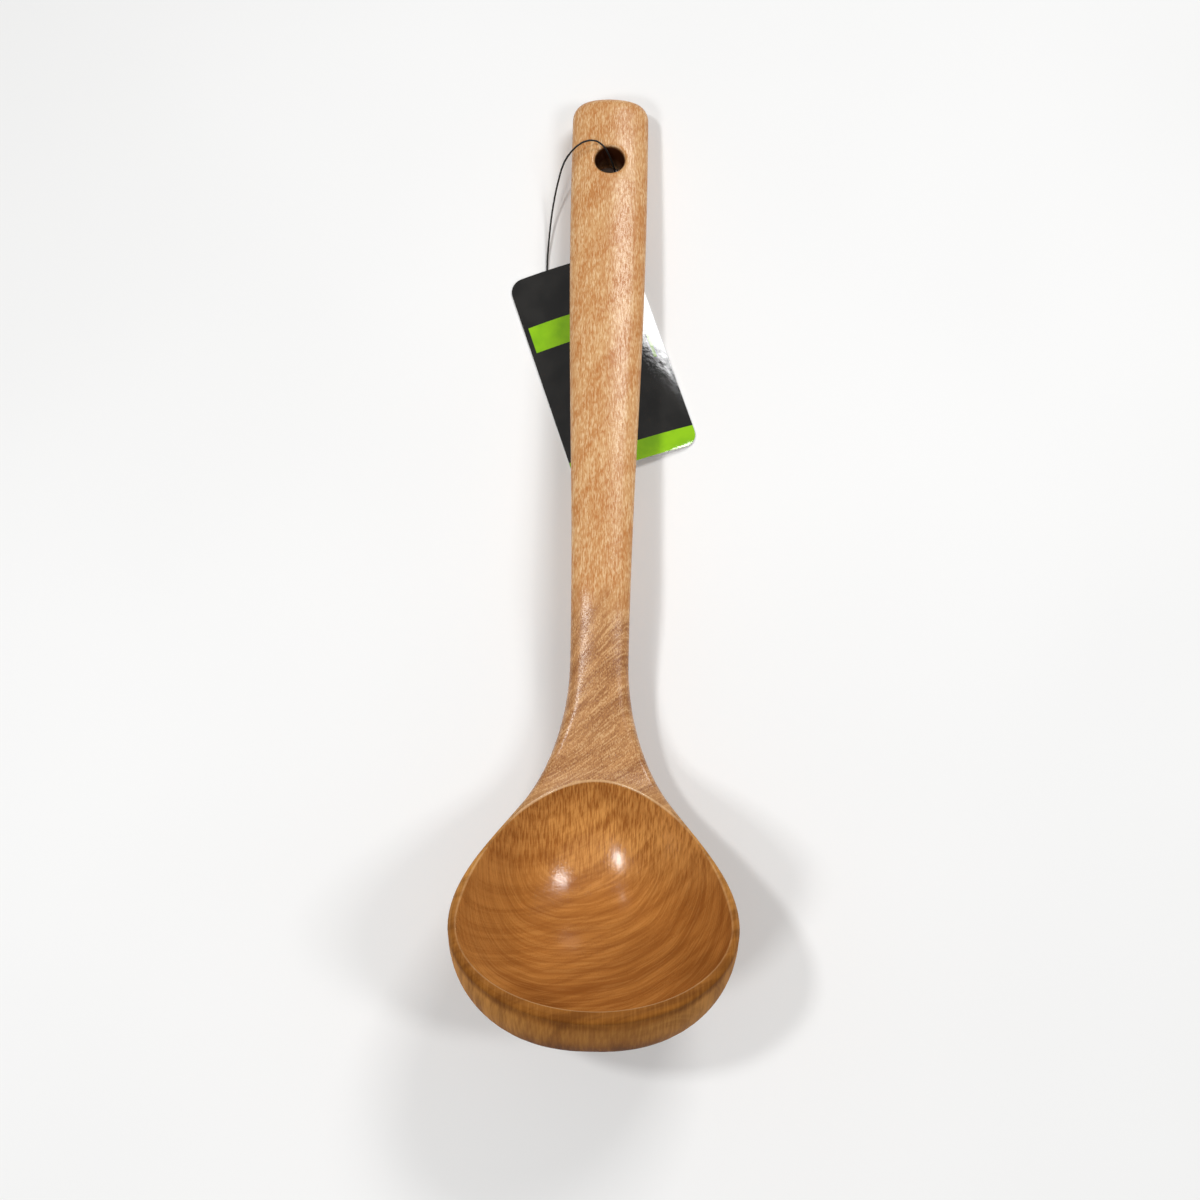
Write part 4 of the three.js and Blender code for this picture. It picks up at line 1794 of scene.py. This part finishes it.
@dataclass(frozen=True)
class GlossPrint:
    """Printed face of the tag: glossy near-black with a lime band at its foot."""

    black: Colour = (0.010, 0.0095, 0.0088)
    soot: Colour = (0.018, 0.0170, 0.0155)
    lime: Colour = (0.290, 0.590, 0.004)
    leaf: Colour = (0.220, 0.490, 0.003)
    mottle_scale: float = 0.12
    mottle_span: Span = (0.35, 0.65)
    band_edge: Span = (-62.48, -62.32)
    panel: Block = Block(-21.3, 3.0, -19.4, -9.4)
    rule: Block = Block(18.1, 19.3, -34.0, -25.0)
    rule_strength: float = 0.5
    grain_scale: float = 4.5
    grain_depth: float = 0.010
    wave_scale: float = 0.35
    wave_depth: float = 0.05
    bow_middle: float = -26.0
    bow: float = 0.0014
    roughness: float = 0.04
    grain_roughness: float = 0.05
    refraction: float = 1.75

    def material(self) -> bpy.types.Material:
        """The printed face's material.

        Returns:
            The material.
        """
        shade = Shade("gloss_print")
        place = shade.place()
        across, along, _ = shade.split(place)
        mottle = shade.noise(place, self.mottle_scale, detail=3.0).step(*self.mottle_span)
        grain = shade.noise(place, self.grain_scale, rough=0.6)
        wave = shade.noise(place, self.wave_scale)
        past = along - self.bow_middle
        rule = self.rule.mask(across, along) * self.rule_strength
        inked = (along.fall(*self.band_edge) + self.panel.mask(across, along) + rule).clipped()
        black = shade.mix(mottle, self.black, self.soot)
        lime = shade.mix(mottle, self.lime, self.leaf)
        height = wave * self.wave_depth + grain * self.grain_depth - past * past * self.bow
        gloss = shade.principled(
            Base_Color=shade.mix(inked, black, lime),
            Roughness=self.roughness + self.grain_roughness * grain,
            IOR=self.refraction,
            Normal=shade.bump(height),
        )
        return shade.finish(gloss)


@dataclass(frozen=True)
class PlainCard:
    """Uncoated card with fine fibres, as at a tag's cut edge and back."""

    name: str
    light: Colour
    dark: Colour
    stretch: Point = (1.0, 1.0, 3.0)
    fibre_scale: float = 1.6
    fibre_span: Span = (0.3, 0.7)
    fibre_depth: float = 0.02
    fibre_roughness: float = 0.15
    roughness: float = 0.72

    def material(self) -> bpy.types.Material:
        """The card's material.

        Returns:
            The material.
        """
        shade = Shade(self.name)
        fibre = shade.noise(shade.place(self.stretch), self.fibre_scale, detail=4.0, rough=0.65)
        matt = shade.principled(
            Base_Color=shade.mix(fibre.step(*self.fibre_span), self.light, self.dark),
            Roughness=self.roughness + self.fibre_roughness * fibre,
            Normal=shade.bump(fibre * self.fibre_depth),
        )
        return shade.finish(matt)


class CardLayer(Enum):
    """Layers of the card, numbered as its materials."""

    PRINT = 0
    CORE = 1
    BACK = 2


@dataclass
class HangTag:
    """Card tag arched across its width, with round corners and a punched hole; millimetres, degrees."""

    width: float = 46.0
    length: float = 79.0
    thickness: float = 0.5
    corner_radius: float = 5.0
    arch: float = 2.0
    curl: float = 0.3
    curl_run: float = 2.8
    turn: float = 19.3
    hole_diameter: float = 3.4
    hole_setback: float = 9.5
    hole_shares: tuple[float, ...] = (0.5, 1.0)
    place: Point = (-11.1, 96.27, 0.1)
    # Mesh: half the block round the hole, and the number of points.
    block: float = 4.0
    block_steps: int = 8
    wing_steps: int = 12
    corner_steps: int = 9
    long_steps: int = 26
    face: GlossPrint = field(default_factory=GlossPrint)
    core: PlainCard = PlainCard("card_core", (0.62, 0.60, 0.56), (0.50, 0.48, 0.44))
    back: PlainCard = PlainCard("card_back", (0.60, 0.585, 0.55), (0.54, 0.525, 0.49))

    def height(self, x: float, y: float, upper: bool) -> float:
        """Height of one side of the card, with its foot curled up a little.

        Args:
            x: Place across.
            y: Place along.
            upper: Whether it is the upper side.

        Returns:
            The height.
        """
        half = self.width / 2
        radius = (half * half + self.arch * self.arch) / (2 * self.arch)
        reach = radius + (self.thickness if upper else 0.0)
        past = max(0.0, 1 - (y - self.hole_setback + self.length) / self.curl_run)
        return self.arch - radius + math.sqrt(reach * reach - x * x) + self.curl * past * past

    def half_width(self, y: float) -> float:
        """Half the width of the card, less at the round corners.

        Args:
            y: Place along.

        Returns:
            Half the width.
        """
        inner = self.corner_radius
        from_end = min(self.hole_setback - y, y - self.hole_setback + self.length)
        if from_end >= inner:
            return self.width / 2
        return self.width / 2 - inner + inner * quarter(1 - from_end / inner)

    def _rows(self) -> list[float]:
        """Rows of the card, from the hole's end to the foot.

        Returns:
            Places along.
        """
        top, foot = self.hole_setback, self.hole_setback - self.length
        corner = [fall for _, fall in rounded(self.corner_radius, self.corner_steps)]
        rows = [top - inset for inset in corner]
        rows += spread(self.block, -self.block, self.block_steps)
        rows += spread(-self.block, foot + self.corner_radius, self.long_steps)[1:]
        return rows + [foot + inset for inset in reversed(corner)][1:]

    def _columns(self, y: float) -> list[float]:
        """Points of one row of the card.

        Args:
            y: Place along of the row.

        Returns:
            Places across.
        """
        half = self.half_width(y)
        wing = spread(-half, -self.block, self.wing_steps)
        middle = spread(-self.block, self.block, self.block_steps)
        return wing[:-1] + middle + [-x for x in reversed(wing[:-1])]

    def _side(self, skin: Skin, upper: bool) -> tuple[list[int], list[int]]:
        """Add the upper or lower side of the card.

        Args:
            skin: Skin that takes it.
            upper: Whether it is the upper side.

        Returns:
            Point numbers round the card and round its hole.
        """
        finish = (CardLayer.PRINT if upper else CardLayer.BACK).value
        rows = [
            skin.row(Vector((x, y, self.height(x, y, upper))) for x in self._columns(y))
            for y in self._rows()
        ]
        start = self.corner_steps + 1
        stop = start + self.block_steps
        left, right = self.wing_steps, self.wing_steps + self.block_steps
        skin.loft(rows[: start + 1], finish=finish)
        skin.loft([row[: left + 1] for row in rows[start : stop + 1]], finish=finish)
        skin.loft([row[right:] for row in rows[start : stop + 1]], finish=finish)
        skin.loft(rows[stop:], finish=finish)
        rings = [border([row[left : right + 1] for row in rows[start : stop + 1]])]
        for share in self.hole_shares:
            ring = []
            for number in rings[0]:
                point = skin.points[number].to_2d()
                edge = point.normalized() * (self.hole_diameter / 2)
                x, y = point.lerp(edge, share)
                ring.append(Vector((x, y, self.height(x, y, upper))))
            rings.append(skin.row(ring))
        skin.loft(rings, True, finish)
        return border(rows), rings[-1]

    def build(self) -> bpy.types.Object:
        """Make the tag.

        Returns:
            The tag.
        """
        skin = Skin()
        upper, lower = self._side(skin, True), self._side(skin, False)
        for edges in zip(upper, lower):
            skin.loft(edges, True, CardLayer.CORE.value)
        place = Matrix.Translation(self.place) @ Matrix.Rotation(math.radians(self.turn), 4, "Z")
        materials = [finish.material() for finish in (self.face, self.core, self.back)]
        tag = skin.build("printed_tag", materials, place)
        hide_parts("hang_tag")
        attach(tag, "tag")
        return tag


def report(*pieces: bpy.types.Object) -> None:
    """Log each piece with the number of its faces."""
    for piece in pieces:
        LOG.info("%s: %d faces", piece.name, len(piece.data.polygons))


def main() -> None:
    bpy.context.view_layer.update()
    studio = Studio()
    studio.place_camera()
    studio.light()
    report(studio.lay_floor())
    report(*TagString().build())
    report(WokSpoon().build())
    report(HangTag().build())


if __name__ == "__main__":
    logging.basicConfig(level=logging.INFO)
    main()
